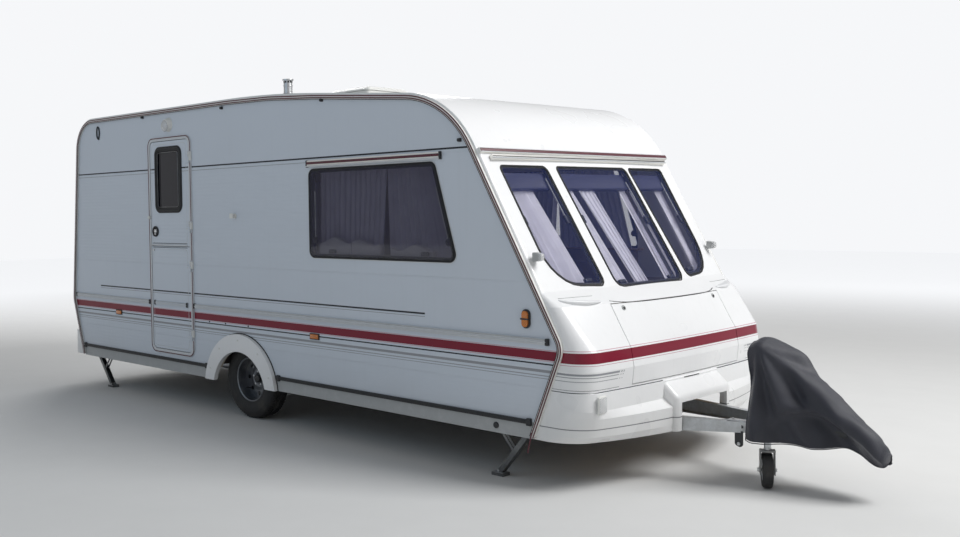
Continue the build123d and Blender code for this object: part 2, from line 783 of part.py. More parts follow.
LEAVES = (
    # name, bottom z, top z, hinges
    ("door_upper", DOOR_SPLIT_Z + DOOR_GAP / 2, LEAF_LIMITS[3], HINGE_ZS[:2]),
    ("door_lower", LEAF_LIMITS[2], DOOR_SPLIT_Z - DOOR_GAP / 2, HINGE_ZS[2:]),
)
for name, z0, z1, hinge_zs in LEAVES:
    with BuildPart() as leaf:
        with BuildSketch(Plane.XZ.offset(HALF + LEAF_PROUD - LEAF_THICKNESS)):
            add(window_face(*LEAF_LIMITS, DOOR_CORNER - 17 - DOOR_GAP))
            with Locations(((LEAF_LIMITS[0] + LEAF_LIMITS[1]) / 2, (z0 + z1) / 2)):
                Rectangle(2000, z1 - z0, mode=Mode.INTERSECT)
            if name == "door_upper":
                add(window_face(*DOOR_WINDOW, DOOR_WINDOW_CORNER), mode=Mode.SUBTRACT)
        extrude(amount=LEAF_THICKNESS)
        for z in hinge_zs:
            with Locations((HINGE_X, HINGE_Y, z - HINGE_LENGTH / 4)):
                Cylinder(HINGE_RADIUS, HINGE_LENGTH / 2 - 1)
            box(
                HINGE_X - 60,
                HINGE_X,
                -HALF - DOOR_FRAME_PROUD - 3 - STRAP_THICKNESS,
                -HALF - DOOR_FRAME_PROUD - 3,
                z - HINGE_LENGTH / 2 + 1,
                z - 1,
            )
            box(
                HINGE_X - 60,
                LEAF_LIMITS[1] - 2,
                -HALF - DOOR_FRAME_PROUD - 3,
                -HALF - LEAF_PROUD,
                z - HINGE_LENGTH / 2 + 1,
                z - 1,
            )
        if name == "door_lower":
            box(
                LEAF_LIMITS[0] + 25,
                LEAF_LIMITS[1] - 45,
                -HALF - RUB_RAIL_PROUD,
                -HALF - LEAF_PROUD,
                RUB_RAIL_Z - RUB_RAIL_HEIGHT / 2,
                RUB_RAIL_Z + RUB_RAIL_HEIGHT / 2,
            )
    leaf.part.label = name
    export_step(leaf.part, f"parts/{name}.step")

with BuildPart() as door_pane:
    with BuildSketch(Plane.XZ.offset(HALF + LEAF_PROUD - 12)):
        add(window_face(*DOOR_WINDOW, DOOR_WINDOW_CORNER))
    extrude(amount=PANE)
door_pane.part.label = "door_pane"
export_step(door_pane.part, "parts/door_pane.step")

# Hidden side: toilet cassette locker with its door, and the refrigerator's vents
CASSETTE_DEPTH = 420
CASSETTE_BOARD = 8
CASSETTE_HINGE_OUT = 9
with BuildPart() as cassette_door:
    x0, x1, z0, z1 = CASSETTE
    box(x0 + DOOR_GAP, x1 - DOOR_GAP, INNER_HALF + 4, HALF + 3, z0 + DOOR_GAP, z1 - DOOR_GAP)
cassette_door.part.label = "cassette_door"
export_step(cassette_door.part, "parts/cassette_door.step")

with BuildPart() as cassette_box:
    y_in = INNER_HALF - CASSETTE_DEPTH
    board = CASSETTE_BOARD
    box(x0 - board, x1 + board, y_in - board, INNER_HALF, z0 - board, z1 + board)
    box(x0, x1, y_in, HALF, z0, z1, mode=Mode.SUBTRACT)
cassette_box.part.label = "cassette_box"
export_step(cassette_box.part, "parts/cassette_box.step")

VENT_X = -60
VENT_ZS = (600, 1150)
VENT_SIZE = (460, 220)
with BuildPart() as fridge_vents:
    for z in VENT_ZS:
        with BuildSketch(flank(1, HALF)):
            with Locations((VENT_X, z)):
                RectangleRounded(*VENT_SIZE, 15)
        extrude(amount=outward(1, 10))
fridge_vents.part.label = "fridge_vents"
export_step(fridge_vents.part, "parts/fridge_vents.step")

# Lamps
FRONT_LAMP_X = 2032
FRONT_LAMP_Z = 1378
with BuildPart() as front_lamps:
    for side, name in SIDES:
        with Locations((FRONT_LAMP_X, side * (HALF - 50), FRONT_LAMP_Z)):
            Box(70, 62, 60)
    add(panel_outer, mode=Mode.SUBTRACT)
    add(wall_slabs.part, mode=Mode.SUBTRACT)
front_lamps.part.label = "front_lamps"
export_step(front_lamps.part, "parts/front_lamps.step")

SIDE_LAMP = (1961, 1006)
REFLECTORS = ((-2756, 750), (38, 745))
with BuildPart() as side_lamps:
    for side, name in SIDES:
        with BuildSketch(flank(side, HALF)):
            with Locations(SIDE_LAMP):
                RectangleRounded(64, 150, 30)
        extrude(amount=outward(side, 34))
        for x, z in REFLECTORS:
            with BuildSketch(flank(side, HALF)):
                with Locations((x, z)):
                    RectangleRounded(90, 40, 4)
            extrude(amount=outward(side, 8))
side_lamps.part.label = "side_lamps"
export_step(side_lamps.part, "parts/side_lamps.step")

with BuildPart() as awning_light:
    with BuildSketch(flank(-1, HALF)):
        with Locations((-1856, 2436)):
            Circle(62)
    extrude(amount=40, taper=25)
awning_light.part.label = "awning_light"
export_step(awning_light.part, "parts/awning_light.step")

# Grab handles on the ledge beside the locker lid
GRAB_OUTER = (2180, HALF - 63, 1133)
GRAB_INNER = (2252, HALF - 368, 1087)
GRAB_BULGE = 34
GRAB_THICKNESS = 20
with BuildPart() as grab_handles:
    chord = Vector(*GRAB_INNER) - Vector(*GRAB_OUTER)
    across = Vector(0, 0, 1).cross(chord)
    for side, name in SIDES:
        handle_plane = Plane(
            origin=((Vector(*GRAB_OUTER) + Vector(*GRAB_INNER)) / 2),
            x_dir=chord,
            z_dir=chord.cross(across) * -1,
        )
        if side < 0:
            handle_plane = Plane(
                origin=(handle_plane.origin.X, -handle_plane.origin.Y, handle_plane.origin.Z),
                x_dir=(chord.X, -chord.Y, chord.Z),
                z_dir=(handle_plane.z_dir.X, -handle_plane.z_dir.Y, handle_plane.z_dir.Z),
            )
        half_chord = chord.length / 2
        with BuildSketch(handle_plane):
            with BuildLine():
                ThreePointArc((-half_chord, 0), (0, side * GRAB_BULGE), (half_chord, 0))
                Polyline((half_chord, 0), (half_chord, -side * 60), (-half_chord, -side * 60), (-half_chord, 0))
            make_face()
        extrude(amount=-GRAB_THICKNESS)
    add(nose_outer, mode=Mode.SUBTRACT)
    add(panel_outer, mode=Mode.SUBTRACT)
grab_handles.part.label = "grab_handles"
export_step(grab_handles.part, "parts/grab_handles.step")

# Rear bumper and lamps
BUMPER_BACK_X = -3618
BUMPER_FRONT_X = -3300
BUMPER_TOP_Z = 520
with BuildPart() as rear_bumper:
    with BuildSketch(Plane.XZ):
        with Locations(((BUMPER_BACK_X + BUMPER_FRONT_X) / 2, (SKIRT_Z + BUMPER_TOP_Z) / 2)):
            Rectangle(BUMPER_FRONT_X - BUMPER_BACK_X, BUMPER_TOP_Z - SKIRT_Z)
        add(outline_face(SKIN), mode=Mode.SUBTRACT)
    extrude(amount=HALF - 20, both=True)
rear_bumper.part.label = "rear_bumper"
export_step(rear_bumper.part, "parts/rear_bumper.step")

REAR_LAMP_Z = 445
with BuildPart() as rear_lamps:
    for side, name in SIDES:
        box(
            BUMPER_BACK_X - 4,
            BUMPER_BACK_X,
            min(side * (HALF - 430), side * (HALF - 90)),
            max(side * (HALF - 430), side * (HALF - 90)),
            REAR_LAMP_Z - 45,
            REAR_LAMP_Z + 45,
        )
rear_lamps.part.label = "rear_lamps"
export_step(rear_lamps.part, "parts/rear_lamps.step")

# Flue and rooflight
FLUE_BASE_Z = 2560
FLUE_HEIGHT = 140
with BuildPart() as flue:
    with BuildSketch(Plane.XY.offset(FLUE_BASE_Z)):
        with Locations((FLUE_X, FLUE_Y)):
            Circle(FLUE_RADIUS)
    extrude(amount=FLUE_HEIGHT)
    with BuildSketch(Plane.XY.offset(FLUE_BASE_Z + FLUE_HEIGHT)):
        with Locations((FLUE_X, FLUE_Y)):
            Circle(FLUE_CAP_RADIUS)
    extrude(amount=-10)
    with BuildSketch(Plane.XZ):
        add(outline_face(SKIN))
    extrude(amount=HALF, both=True, mode=Mode.SUBTRACT)
flue.part.label = "flue"
export_step(flue.part, "parts/flue.step")

ROOFLIGHT_BASE_TOP = 2566
with BuildPart() as rooflight_frame:
    with BuildSketch(Plane.XY.offset(2500)):
        with Locations((ROOFLIGHT_X, ROOFLIGHT_Y)):
            RectangleRounded(ROOFLIGHT_SIZE, ROOFLIGHT_SIZE, 30)
            RectangleRounded(ROOFLIGHT_HATCH - 30, ROOFLIGHT_HATCH - 30, 20, mode=Mode.SUBTRACT)
    extrude(amount=ROOFLIGHT_BASE_TOP - 2500)
    with BuildSketch(Plane.XZ):
        add(outline_face(SKIN))
    extrude(amount=HALF, both=True, mode=Mode.SUBTRACT)
rooflight_frame.part.label = "rooflight_frame"
export_step(rooflight_frame.part, "parts/rooflight_frame.step")

with BuildPart() as rooflight_lid:
    with BuildSketch(Plane.XY.offset(ROOFLIGHT_BASE_TOP + 3)):
        with Locations((ROOFLIGHT_X, ROOFLIGHT_Y)):
            RectangleRounded(ROOFLIGHT_SIZE + 10, ROOFLIGHT_SIZE + 10, 35)
    extrude(amount=12, taper=10)
    with BuildSketch(Plane.XY.offset(ROOFLIGHT_BASE_TOP + 15)):
        with Locations((ROOFLIGHT_X, ROOFLIGHT_Y)):
            RectangleRounded(ROOFLIGHT_SIZE + 5, ROOFLIGHT_SIZE + 5, 33)
    extrude(amount=20, taper=60)
    with BuildSketch(Plane.XY.offset(ROOFLIGHT_BASE_TOP + 3)):
        with Locations((ROOFLIGHT_X, ROOFLIGHT_Y)):
            RectangleRounded(ROOFLIGHT_SIZE - 10, ROOFLIGHT_SIZE - 10, 30)
    extrude(amount=10, mode=Mode.SUBTRACT)
    with BuildSketch(Plane.XY.offset(ROOFLIGHT_BASE_TOP + 13)):
        with Locations((ROOFLIGHT_X, ROOFLIGHT_Y)):
            RectangleRounded(ROOFLIGHT_SIZE - 15, ROOFLIGHT_SIZE - 15, 28)
    extrude(amount=16, taper=60, mode=Mode.SUBTRACT)
rooflight_lid.part.label = "rooflight_lid"
export_step(rooflight_lid.part, "parts/rooflight_lid.step")

# Chassis
RAIL_INSET = 450
RAIL_Y = HALF - RAIL_INSET
RAIL_HEIGHT = 120
RAIL_WIDTH = 45
RAIL_X = (-3250, 1700)
RAIL_TOP_Z = FLOOR_Z + 10
CROSS_X = (-3200, -1500, 100, 1220)
with BuildPart() as chassis_rails:
    for side, name in SIDES:
        with BuildSketch(Plane.YZ.offset(RAIL_X[0])):
            with Locations((side * RAIL_Y, RAIL_TOP_Z - RAIL_HEIGHT / 2)):
                Rectangle(RAIL_WIDTH, RAIL_HEIGHT)
            with Locations((side * (RAIL_Y + ARM_STEEL), RAIL_TOP_Z - RAIL_HEIGHT / 2)):
                Rectangle(RAIL_WIDTH, RAIL_HEIGHT - 2 * ARM_STEEL, mode=Mode.SUBTRACT)
        extrude(amount=RAIL_X[1] - RAIL_X[0])
    for x in CROSS_X:
        box(
            x - 25,
            x + 25,
            -RAIL_Y + RAIL_WIDTH / 2 - ARM_STEEL / 2,
            RAIL_Y - RAIL_WIDTH / 2 + ARM_STEEL / 2,
            RAIL_TOP_Z - 60,
            RAIL_TOP_Z - 56,
        )
chassis_rails.part.label = "chassis_rails"
export_step(chassis_rails.part, "parts/chassis_rails.step")

# Draw bar
with BuildPart() as arm_flanges:
    for side, name in SIDES:
        with BuildSketch(Plane.XY):
            Polygon(
                *[(x, side * arm_face_y(x)) for x in (ARM_TAPER_X[0], ARM_FRONT[0])],
                *[
                    (x, side * (arm_face_y(x) - ARM_WIDTH / ARM_COSINE))
                    for x in (ARM_FRONT[0], ARM_TAPER_X[0])
                ],
                align=None,
            )
        extrude(amount=ARM_TOP_Z)
    with BuildSketch(Plane.XZ):
        Polygon(
            (ARM_TAPER_X[0], ARM_TOP_Z - ARM_HEIGHT),
            (ARM_TAPER_X[1], ARM_TOP_Z - ARM_FRONT_HEIGHT),
            (FAR, ARM_TOP_Z - ARM_FRONT_HEIGHT),
            (FAR, ARM_TOP_Z - ARM_FRONT_HEIGHT + ARM_STEEL),
            (ARM_TAPER_X[1], ARM_TOP_Z - ARM_FRONT_HEIGHT + ARM_STEEL),
            (ARM_TAPER_X[0], ARM_TOP_Z - ARM_HEIGHT + ARM_STEEL),
            align=None,
        )
    extrude(amount=HALF, both=True, mode=Mode.INTERSECT)
with BuildPart() as draw_bar:
    for side, name in SIDES:
        arm_plane = Plane(
            origin=(ARM_BACK[0], side * ARM_BACK[1], ARM_TOP_Z - ARM_HEIGHT / 2),
            x_dir=(
                math.sin(math.radians(ARM_ANGLE)),
                side * math.cos(math.radians(ARM_ANGLE)),
                0,
            ),
            z_dir=(
                math.cos(math.radians(ARM_ANGLE)),
                -side * math.sin(math.radians(ARM_ANGLE)),
                0,
            ),
        )
        with BuildSketch(arm_plane):
            Rectangle(ARM_WIDTH, ARM_HEIGHT)
            with Locations((-ARM_STEEL, 0)):
                Rectangle(ARM_WIDTH, ARM_HEIGHT - 2 * ARM_STEEL, mode=Mode.SUBTRACT)
        extrude(amount=ARM_LENGTH)
    with BuildSketch(Plane.XZ):
        Polygon(
            (ARM_TAPER_X[0], 0),
            (FAR, 0),
            (FAR, ARM_TOP_Z - ARM_FRONT_HEIGHT),
            (ARM_TAPER_X[1], ARM_TOP_Z - ARM_FRONT_HEIGHT),
            (ARM_TAPER_X[0], ARM_TOP_Z - ARM_HEIGHT),
            align=None,
        )
    extrude(amount=HALF, both=True, mode=Mode.SUBTRACT)
    add(arm_flanges.part)
    box(
        ARM_FRONT[0] - 8,
        ARM_FRONT[0] + 2,
        -ARM_FRONT[1] - 24,
        ARM_FRONT[1] + 24,
        ARM_TOP_Z - ARM_FRONT_HEIGHT,
        ARM_TOP_Z,
    )
    for side, name in SIDES:
        y_in = side * (RAIL_Y - RAIL_WIDTH / 2)
        y_out = side * (RAIL_Y + RAIL_WIDTH)
        box(1200, 1600, min(y_in, y_out), max(y_in, y_out), 200, 500, mode=Mode.SUBTRACT)
draw_bar.part.label = "draw_bar"
export_step(draw_bar.part, "parts/draw_bar.step")

# Coupling head with its tube, bellows and socket
with BuildPart() as coupling_head:
    with Locations(Location((0, 0, BALL_Z), (0, 90, 0))):
        with Locations((0, 0, (ARM_FRONT[0] + 2 + BALL_X) / 2)):
            Cylinder(25, BALL_X - ARM_FRONT[0] - 2)
    with Locations((BALL_X, 0, BALL_Z - 5)):
        Cylinder(48, 40)
    with Locations((BALL_X, 0, BALL_Z + 26)):
        Cone(48, 28, 22)
    with Locations((BALL_X, 0, BALL_Z - 10)):
        Cylinder(BALL_SOCKET_RADIUS, 40, mode=Mode.SUBTRACT)
    box(BALL_X - 150, BALL_X - 20, -34, 34, BALL_Z + 5, BALL_Z + 32)
    with Locations((BALL_X, 0, BALL_Z - 10)):
        Cylinder(BALL_SOCKET_RADIUS, 40, mode=Mode.SUBTRACT)
coupling_head.part.label = "coupling_head"
export_step(coupling_head.part, "parts/coupling_head.step")

with BuildPart() as handbrake_lever:
    with Locations(Location((3200, 0, 500), (0, -8, 0))):
        Box(28, 14, 240)
    with Locations(Location((3183, 0, 640), (0, -8, 0))):
        Cylinder(16, 110)
    with BuildSketch(Plane.XY.offset(BALL_Z - 1)):
        with Locations((3210, 0)):
            Rectangle(70, 60)
    extrude(amount=60)
    add(coupling_head.part, mode=Mode.SUBTRACT)
handbrake_lever.part.label = "handbrake_lever"
export_step(handbrake_lever.part, "parts/handbrake_lever.step")

# Axle with trailing arms and backplates
AXLE_X = WHEEL_X + 165
AXLE_TUBE_RADIUS = 48
AXLE_PAD = 6
AXLE_Z = RAIL_TOP_Z - RAIL_HEIGHT - AXLE_PAD - AXLE_TUBE_RADIUS
DRUM_RADIUS = 100
DRUM_DEPTH = 60
RIM_DISC_OUT = -20
ARM_PLATE_Y = (WHEEL_Y - 160, WHEEL_Y - 124)
with BuildPart() as axle:
    with Locations(Location((AXLE_X, 0, AXLE_Z), (90, 0, 0))):
        Cylinder(AXLE_TUBE_RADIUS, 2 * ARM_PLATE_Y[0] + 4)
    for side, name in SIDES:
        with BuildSketch(Plane.XZ.offset(-side * ARM_PLATE_Y[0])):
            Polygon(
                (WHEEL_X - 40, TYRE_RADIUS + 30),
                (WHEEL_X - 40, TYRE_RADIUS - 30),
                (AXLE_X - 44, AXLE_Z - 44),
                (AXLE_X + 44, AXLE_Z - 44),
                (AXLE_X + 44, AXLE_Z + 40),
                (WHEEL_X + 40, TYRE_RADIUS + 30),
                align=None,
            )
        extrude(amount=-side * (ARM_PLATE_Y[1] - ARM_PLATE_Y[0]))
        with Locations(Location((WHEEL_X, side * (ARM_PLATE_Y[1] + 6), TYRE_RADIUS), (90, 0, 0))):
            Cylinder(DRUM_RADIUS + 4, 12)
        with Locations(Location((WHEEL_X, side * (ARM_PLATE_Y[1] + 54), TYRE_RADIUS), (90, 0, 0))):
            Cylinder(20, 110)
        box(
            AXLE_X - 40,
            AXLE_X + 40,
            min(side * (RAIL_Y - 40), side * (RAIL_Y + 20)),
            max(side * (RAIL_Y - 40), side * (RAIL_Y + 20)),
            AXLE_Z + 20,
            RAIL_TOP_Z - RAIL_HEIGHT,
        )
axle.part.label = "axle"
export_step(axle.part, "parts/axle.step")

# Wheels
TYRE_PROFILE = (
    # radius, share of the width
    (RIM_RADIUS, 0.37),
    (RIM_RADIUS + 25, 0.46),
    (RIM_RADIUS + 65, 0.50),
    (TYRE_RADIUS - 28, 0.46),
    (TYRE_RADIUS - 5, 0.36),
    (TYRE_RADIUS, 0.30),
)
for side, name in SIDES:
    hub = Location((WHEEL_X, side * WHEEL_Y, TYRE_RADIUS), (90, 0, 0))
    with BuildPart() as tyre:
        with BuildSketch(Plane.XZ):
            with BuildLine():
                Polyline(
                    *[(radius, -TYRE_WIDTH * share) for radius, share in TYRE_PROFILE],
                    *[(radius, TYRE_WIDTH * share) for radius, share in reversed(TYRE_PROFILE)],
                    close=True,
                )
            make_face()
        revolve(axis=Axis.Z)
    part = tyre.part.moved(hub)
    part.label = f"tyre_{name}"
    export_step(part, f"parts/tyre_{name}.step")
    with BuildPart() as rim:
        Cylinder(RIM_RADIUS, 140)
        Cylinder(RIM_RADIUS - 8, 200, mode=Mode.SUBTRACT)
        with Locations((0, 0, -side * RIM_DISC_OUT)):
            Cylinder(RIM_RADIUS - 4, 10)
        with Locations((0, 0, -side * RIM_DISC_OUT)):
            with PolarLocations(125, 8):
                Cylinder(17, 20, mode=Mode.SUBTRACT)
        with Locations((0, 0, side * (DRUM_DEPTH / 2 - RIM_DISC_OUT))):
            Cylinder(DRUM_RADIUS, DRUM_DEPTH)
        Cylinder(WHEEL_HOLE_RADIUS, 300, mode=Mode.SUBTRACT)
    part = rim.part.moved(hub)
    part.label = f"rim_{name}"
    export_step(part, f"parts/rim_{name}.step")

# Corner steadies: leg and brace pivot below a channel that carries the screw
LEG_DROP = STEADY_Z - FOOT_RADIUS
LEG_ANGLE = math.degrees(math.asin(LEG_DROP / STEADY_LEG))
STEADIES = (
    # name, hinge x, way the foot points, side
    ("front_right", STEADY_FRONT_X, -1, -1),
    ("front_left", STEADY_FRONT_X, -1, 1),
    ("rear_right", STEADY_REAR_X, 1, -1),
    ("rear_left", STEADY_REAR_X, 1, 1),
)
with BuildPart() as steady_frames:
    for name, hx, way, side in STEADIES:
        y = side * STEADY_Y
        x0 = min(hx - way * 40, hx + way * 420)
        x1 = max(hx - way * 40, hx + way * 420)
        box(x0, x1, y - 32, y + 32, STEADY_Z + 28, FLOOR_Z + 10)
        for s in (-1, 1):
            box(
                min(hx - way * 20, hx + way * 20),
                max(hx - way * 20, hx + way * 20),
                y + s * 28 - 3,
                y + s * 28 + 3,
                STEADY_Z - 20,
                STEADY_Z + 28,
            )
steady_frames.part.label = "steady_frames"
export_step(steady_frames.part, "parts/steady_frames.step")

LEG_RUN = math.sqrt(STEADY_LEG**2 - LEG_DROP**2)
for name, hx, way, side in STEADIES:
    y = side * STEADY_Y
    # the leg, drawn along +X from its hinge, then swung down towards its foot
    with BuildPart() as steady_leg:
        for s in (-1, 1):
            box(-14, STEADY_LEG + 6, s * 20 - 2, s * 20 + 2, -14, 14)
        box(40, STEADY_LEG + 6, -22, 22, -18, -14)
    swing = Location((hx, y, STEADY_Z), (0, LEG_ANGLE, 0))
    if way < 0:
        swing = Location((hx, y, STEADY_Z), (0, 0, 180)) * Location((0, 0, 0), (0, LEG_ANGLE, 0))
    with BuildPart() as leg_and_foot:
        add(steady_leg.part.moved(swing))
        with Locations((hx + way * LEG_RUN, y, FOOT_RADIUS / 2)):
            Box(90, 70, FOOT_RADIUS)
    leg_and_foot.part.label = f"steady_leg_{name}"
    export_step(leg_and_foot.part, f"parts/steady_leg_{name}.step")
    # the brace links, from the leg's middle pin up to the screw line
    pin_x = hx + way * STEADY_PIN * math.cos(math.radians(LEG_ANGLE))
    pin_z = STEADY_Z - STEADY_PIN * math.sin(math.radians(LEG_ANGLE))
    nut_x = hx + way * 2 * STEADY_PIN * math.cos(math.radians(LEG_ANGLE))
    mid = ((pin_x + nut_x) / 2, y, (pin_z + STEADY_Z) / 2)
    with BuildPart() as brace:
        for s in (-1, 1):
            with Locations(Location(mid, (0, -way * LEG_ANGLE, 0))):
                with Locations((0, s * 15, 0)):
                    Box(STEADY_PIN, 4, 18)
        with Locations(Location((pin_x, y, pin_z), (90, 0, 0))):
            Cylinder(5, 34)
    brace.part.label = f"steady_brace_{name}"
    export_step(brace.part, f"parts/steady_brace_{name}.step")

# Jockey wheel
JOCKEY_TUBE_BOTTOM = 285
JOCKEY_TUBE_TOP = 745
JOCKEY_POST_TOP = 640
CRANK_REACH = 100
JOCKEY_CLAMP_HALF = 30
with BuildPart() as jockey_tube:
    with BuildSketch(Plane.XY.offset(JOCKEY_TUBE_BOTTOM)):
        with Locations((JOCKEY_X, JOCKEY_Y)):
            Circle(JOCKEY_TUBE_RADIUS)
    extrude(amount=JOCKEY_TUBE_TOP - JOCKEY_TUBE_BOTTOM)
    with BuildSketch(Plane.XY.offset(ARM_TOP_Z - ARM_FRONT_HEIGHT + 6)):
        Polygon(
            (JOCKEY_X - JOCKEY_CLAMP_HALF, JOCKEY_Y),
            (JOCKEY_X + JOCKEY_CLAMP_HALF, JOCKEY_Y),
            (JOCKEY_X + JOCKEY_CLAMP_HALF, -arm_face_y(JOCKEY_X + JOCKEY_CLAMP_HALF)),
            (JOCKEY_X - JOCKEY_CLAMP_HALF, -arm_face_y(JOCKEY_X - JOCKEY_CLAMP_HALF)),
            align=None,
        )
    extrude(amount=ARM_FRONT_HEIGHT - 12)
    with BuildSketch(Plane.XY.offset(JOCKEY_TUBE_BOTTOM)):
        with Locations((JOCKEY_X, JOCKEY_Y)):
            Circle(JOCKEY_INNER_RADIUS + 0.5)
    extrude(amount=JOCKEY_TUBE_TOP - JOCKEY_TUBE_BOTTOM - 40, mode=Mode.SUBTRACT)
    with Locations((JOCKEY_X, JOCKEY_Y, JOCKEY_TUBE_TOP + 24)):
        Cylinder(8, 50)
    box(
        JOCKEY_X - 12,
        JOCKEY_X + 12,
        JOCKEY_Y - 10,
        JOCKEY_Y + CRANK_REACH + 10,
        JOCKEY_TUBE_TOP + 38,
        JOCKEY_TUBE_TOP + 48,
    )
    with Locations((JOCKEY_X, JOCKEY_Y + CRANK_REACH, JOCKEY_TUBE_TOP + 68)):
        Cylinder(13, 42)
jockey_tube.part.label = "jockey_tube"
export_step(jockey_tube.part, "parts/jockey_tube.step")

FORK_TOP = 2 * JOCKEY_WHEEL_RADIUS + 22
with BuildPart() as jockey_post:
    with BuildSketch(Plane.XY.offset(FORK_TOP + 1)):
        with Locations((JOCKEY_X, JOCKEY_Y)):
            Circle(JOCKEY_INNER_RADIUS)
    extrude(amount=JOCKEY_POST_TOP - FORK_TOP - 1)
jockey_post.part.label = "jockey_post"
export_step(jockey_post.part, "parts/jockey_post.step")

jockey_place = Location((JOCKEY_X, JOCKEY_Y, 0), (0, 0, JOCKEY_YAW))
with BuildPart() as fork:
    with Locations((0, 0, FORK_TOP - 5)):
        Box(60, JOCKEY_WHEEL_WIDTH + 22, 10)
    for s in (-1, 1):
        box(
            -JOCKEY_TRAIL - 22,
            22,
            s * (JOCKEY_WHEEL_WIDTH / 2 + 8) - 3,
            s * (JOCKEY_WHEEL_WIDTH / 2 + 8) + 3,
            JOCKEY_WHEEL_RADIUS - 20,
            FORK_TOP - 10,
        )
    with Locations(Location((-JOCKEY_TRAIL, 0, JOCKEY_WHEEL_RADIUS), (90, 0, 0))):
        Cylinder(8, JOCKEY_WHEEL_WIDTH + 30)
part = fork.part.moved(jockey_place)
part.label = "jockey_fork"
export_step(part, "parts/jockey_fork.step")

with BuildPart() as jwheel:
    with Locations(Location((-JOCKEY_TRAIL, 0, JOCKEY_WHEEL_RADIUS), (90, 0, 0))):
        Cylinder(JOCKEY_WHEEL_RADIUS, JOCKEY_WHEEL_WIDTH)
        Cylinder(8.05, JOCKEY_WHEEL_WIDTH + 2, mode=Mode.SUBTRACT)
part = jwheel.part.moved(jockey_place)
part.label = "jockey_wheel"
export_step(part, "parts/jockey_wheel.step")

# Fabric hitch cover, hollow and open below
COVER_SECTIONS = (
    # x, right edge y, left edge y, bottom z, right shoulder z,
    # ridge right y and z, ridge left y, top z
    (2905, -222, 200, 283, 790, -192, 836, -120, 858),
    (2960, -222, 200, 280, 800, -180, 866, -98, 890),
    (3030, -222, 195, 277, 770, -152, 832, -48, 866),
    (3140, -215, 172, 270, 560, -115, 757, 0, 792),
    (3225, -190, 150, 265, 512, -95, 675, 20, 672),
    (3345, -150, 124, 258, 466, -60, 556, 30, 522),
    (3450, -112, 102, 246, 434, -42, 436, 38, 446),
    (3550, -82, 78, 206, 345, -38, 360, 40, 394),
    (3607, -48, 64, 196, 255, -18, 292, 38, 306),
    (3622, -26, 50, 228, 252, -5, 274, 30, 284),
)
COVER_THICKNESS = 8
COVER_LEFT_SHOULDER = 0.45


def cover_solid(inset):
    """The cover's outer form, or its hollow when inset."""
    first = COVER_SECTIONS[0][0]
    last = COVER_SECTIONS[-1][0]
    with BuildPart() as p:
        for x, right, left, bottom, shoulder, ridge_right, ridge_z, ridge_left, top in COVER_SECTIONS:
            at = x + inset * (x == first) - inset * (x == last)
            low = bottom - 50 * (inset > 0)
            left_shoulder = bottom + (top - bottom) * COVER_LEFT_SHOULDER - inset
            with BuildSketch(Plane.YZ.offset(at)):
                Polygon(
                    (right + inset, low),
                    (left - inset, low),
                    (left - inset, left_shoulder),
                    (ridge_left - inset / 2, top - inset),
                    (ridge_right + inset / 2, ridge_z - inset),
                    (right + inset, shoulder - inset / 2),
                    align=None,
                )
        loft(ruled=True)
    return p.part


with BuildPart() as hitch_cover:
    add(cover_solid(0))
    add(cover_solid(COVER_THICKNESS), mode=Mode.SUBTRACT)
    box(
        COVER_SECTIONS[0][0] - 10,
        COVER_SECTIONS[0][0] + COVER_THICKNESS + 10,
        -arm_face_y(COVER_SECTIONS[0][0]) - 15,
        arm_face_y(COVER_SECTIONS[0][0]) + 15,
        0,
        ARM_TOP_Z + 50,
        mode=Mode.SUBTRACT,
    )
hitch_cover.part.label = "hitch_cover"
export_step(hitch_cover.part, "parts/hitch_cover.step")
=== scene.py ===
"""Travel caravan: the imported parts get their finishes, and the trim, seals, curtains and small fittings are made."""

import math

import bmesh
import bpy
from mathutils import Matrix, Vector


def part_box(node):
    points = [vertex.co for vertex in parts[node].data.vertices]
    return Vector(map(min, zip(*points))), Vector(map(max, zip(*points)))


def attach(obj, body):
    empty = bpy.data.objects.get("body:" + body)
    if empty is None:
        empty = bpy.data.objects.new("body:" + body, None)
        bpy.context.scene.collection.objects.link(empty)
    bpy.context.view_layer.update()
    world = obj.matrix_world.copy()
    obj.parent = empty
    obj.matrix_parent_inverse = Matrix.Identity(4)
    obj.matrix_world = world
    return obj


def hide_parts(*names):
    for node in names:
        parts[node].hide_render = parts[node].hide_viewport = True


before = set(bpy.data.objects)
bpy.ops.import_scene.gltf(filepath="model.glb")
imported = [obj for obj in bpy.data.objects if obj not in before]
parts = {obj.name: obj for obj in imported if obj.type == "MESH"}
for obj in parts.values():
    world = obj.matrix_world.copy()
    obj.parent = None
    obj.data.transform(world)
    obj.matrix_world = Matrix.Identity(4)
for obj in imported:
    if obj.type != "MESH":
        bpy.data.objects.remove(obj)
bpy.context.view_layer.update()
bpy.ops.object.select_all(action="DESELECT")
scene = bpy.context.scene

RIGHT, LEFT = -1, 1
SIDES = ((RIGHT, "right"), (LEFT, "left"))
HALF_WIDTH = 1.090
CHASSIS = "caravan"
TO_RIGHT, TO_LEFT, UP = (0, -1, 0), (0, 1, 0), (0, 0, 1)

# ---------------------------------------------------------------- camera

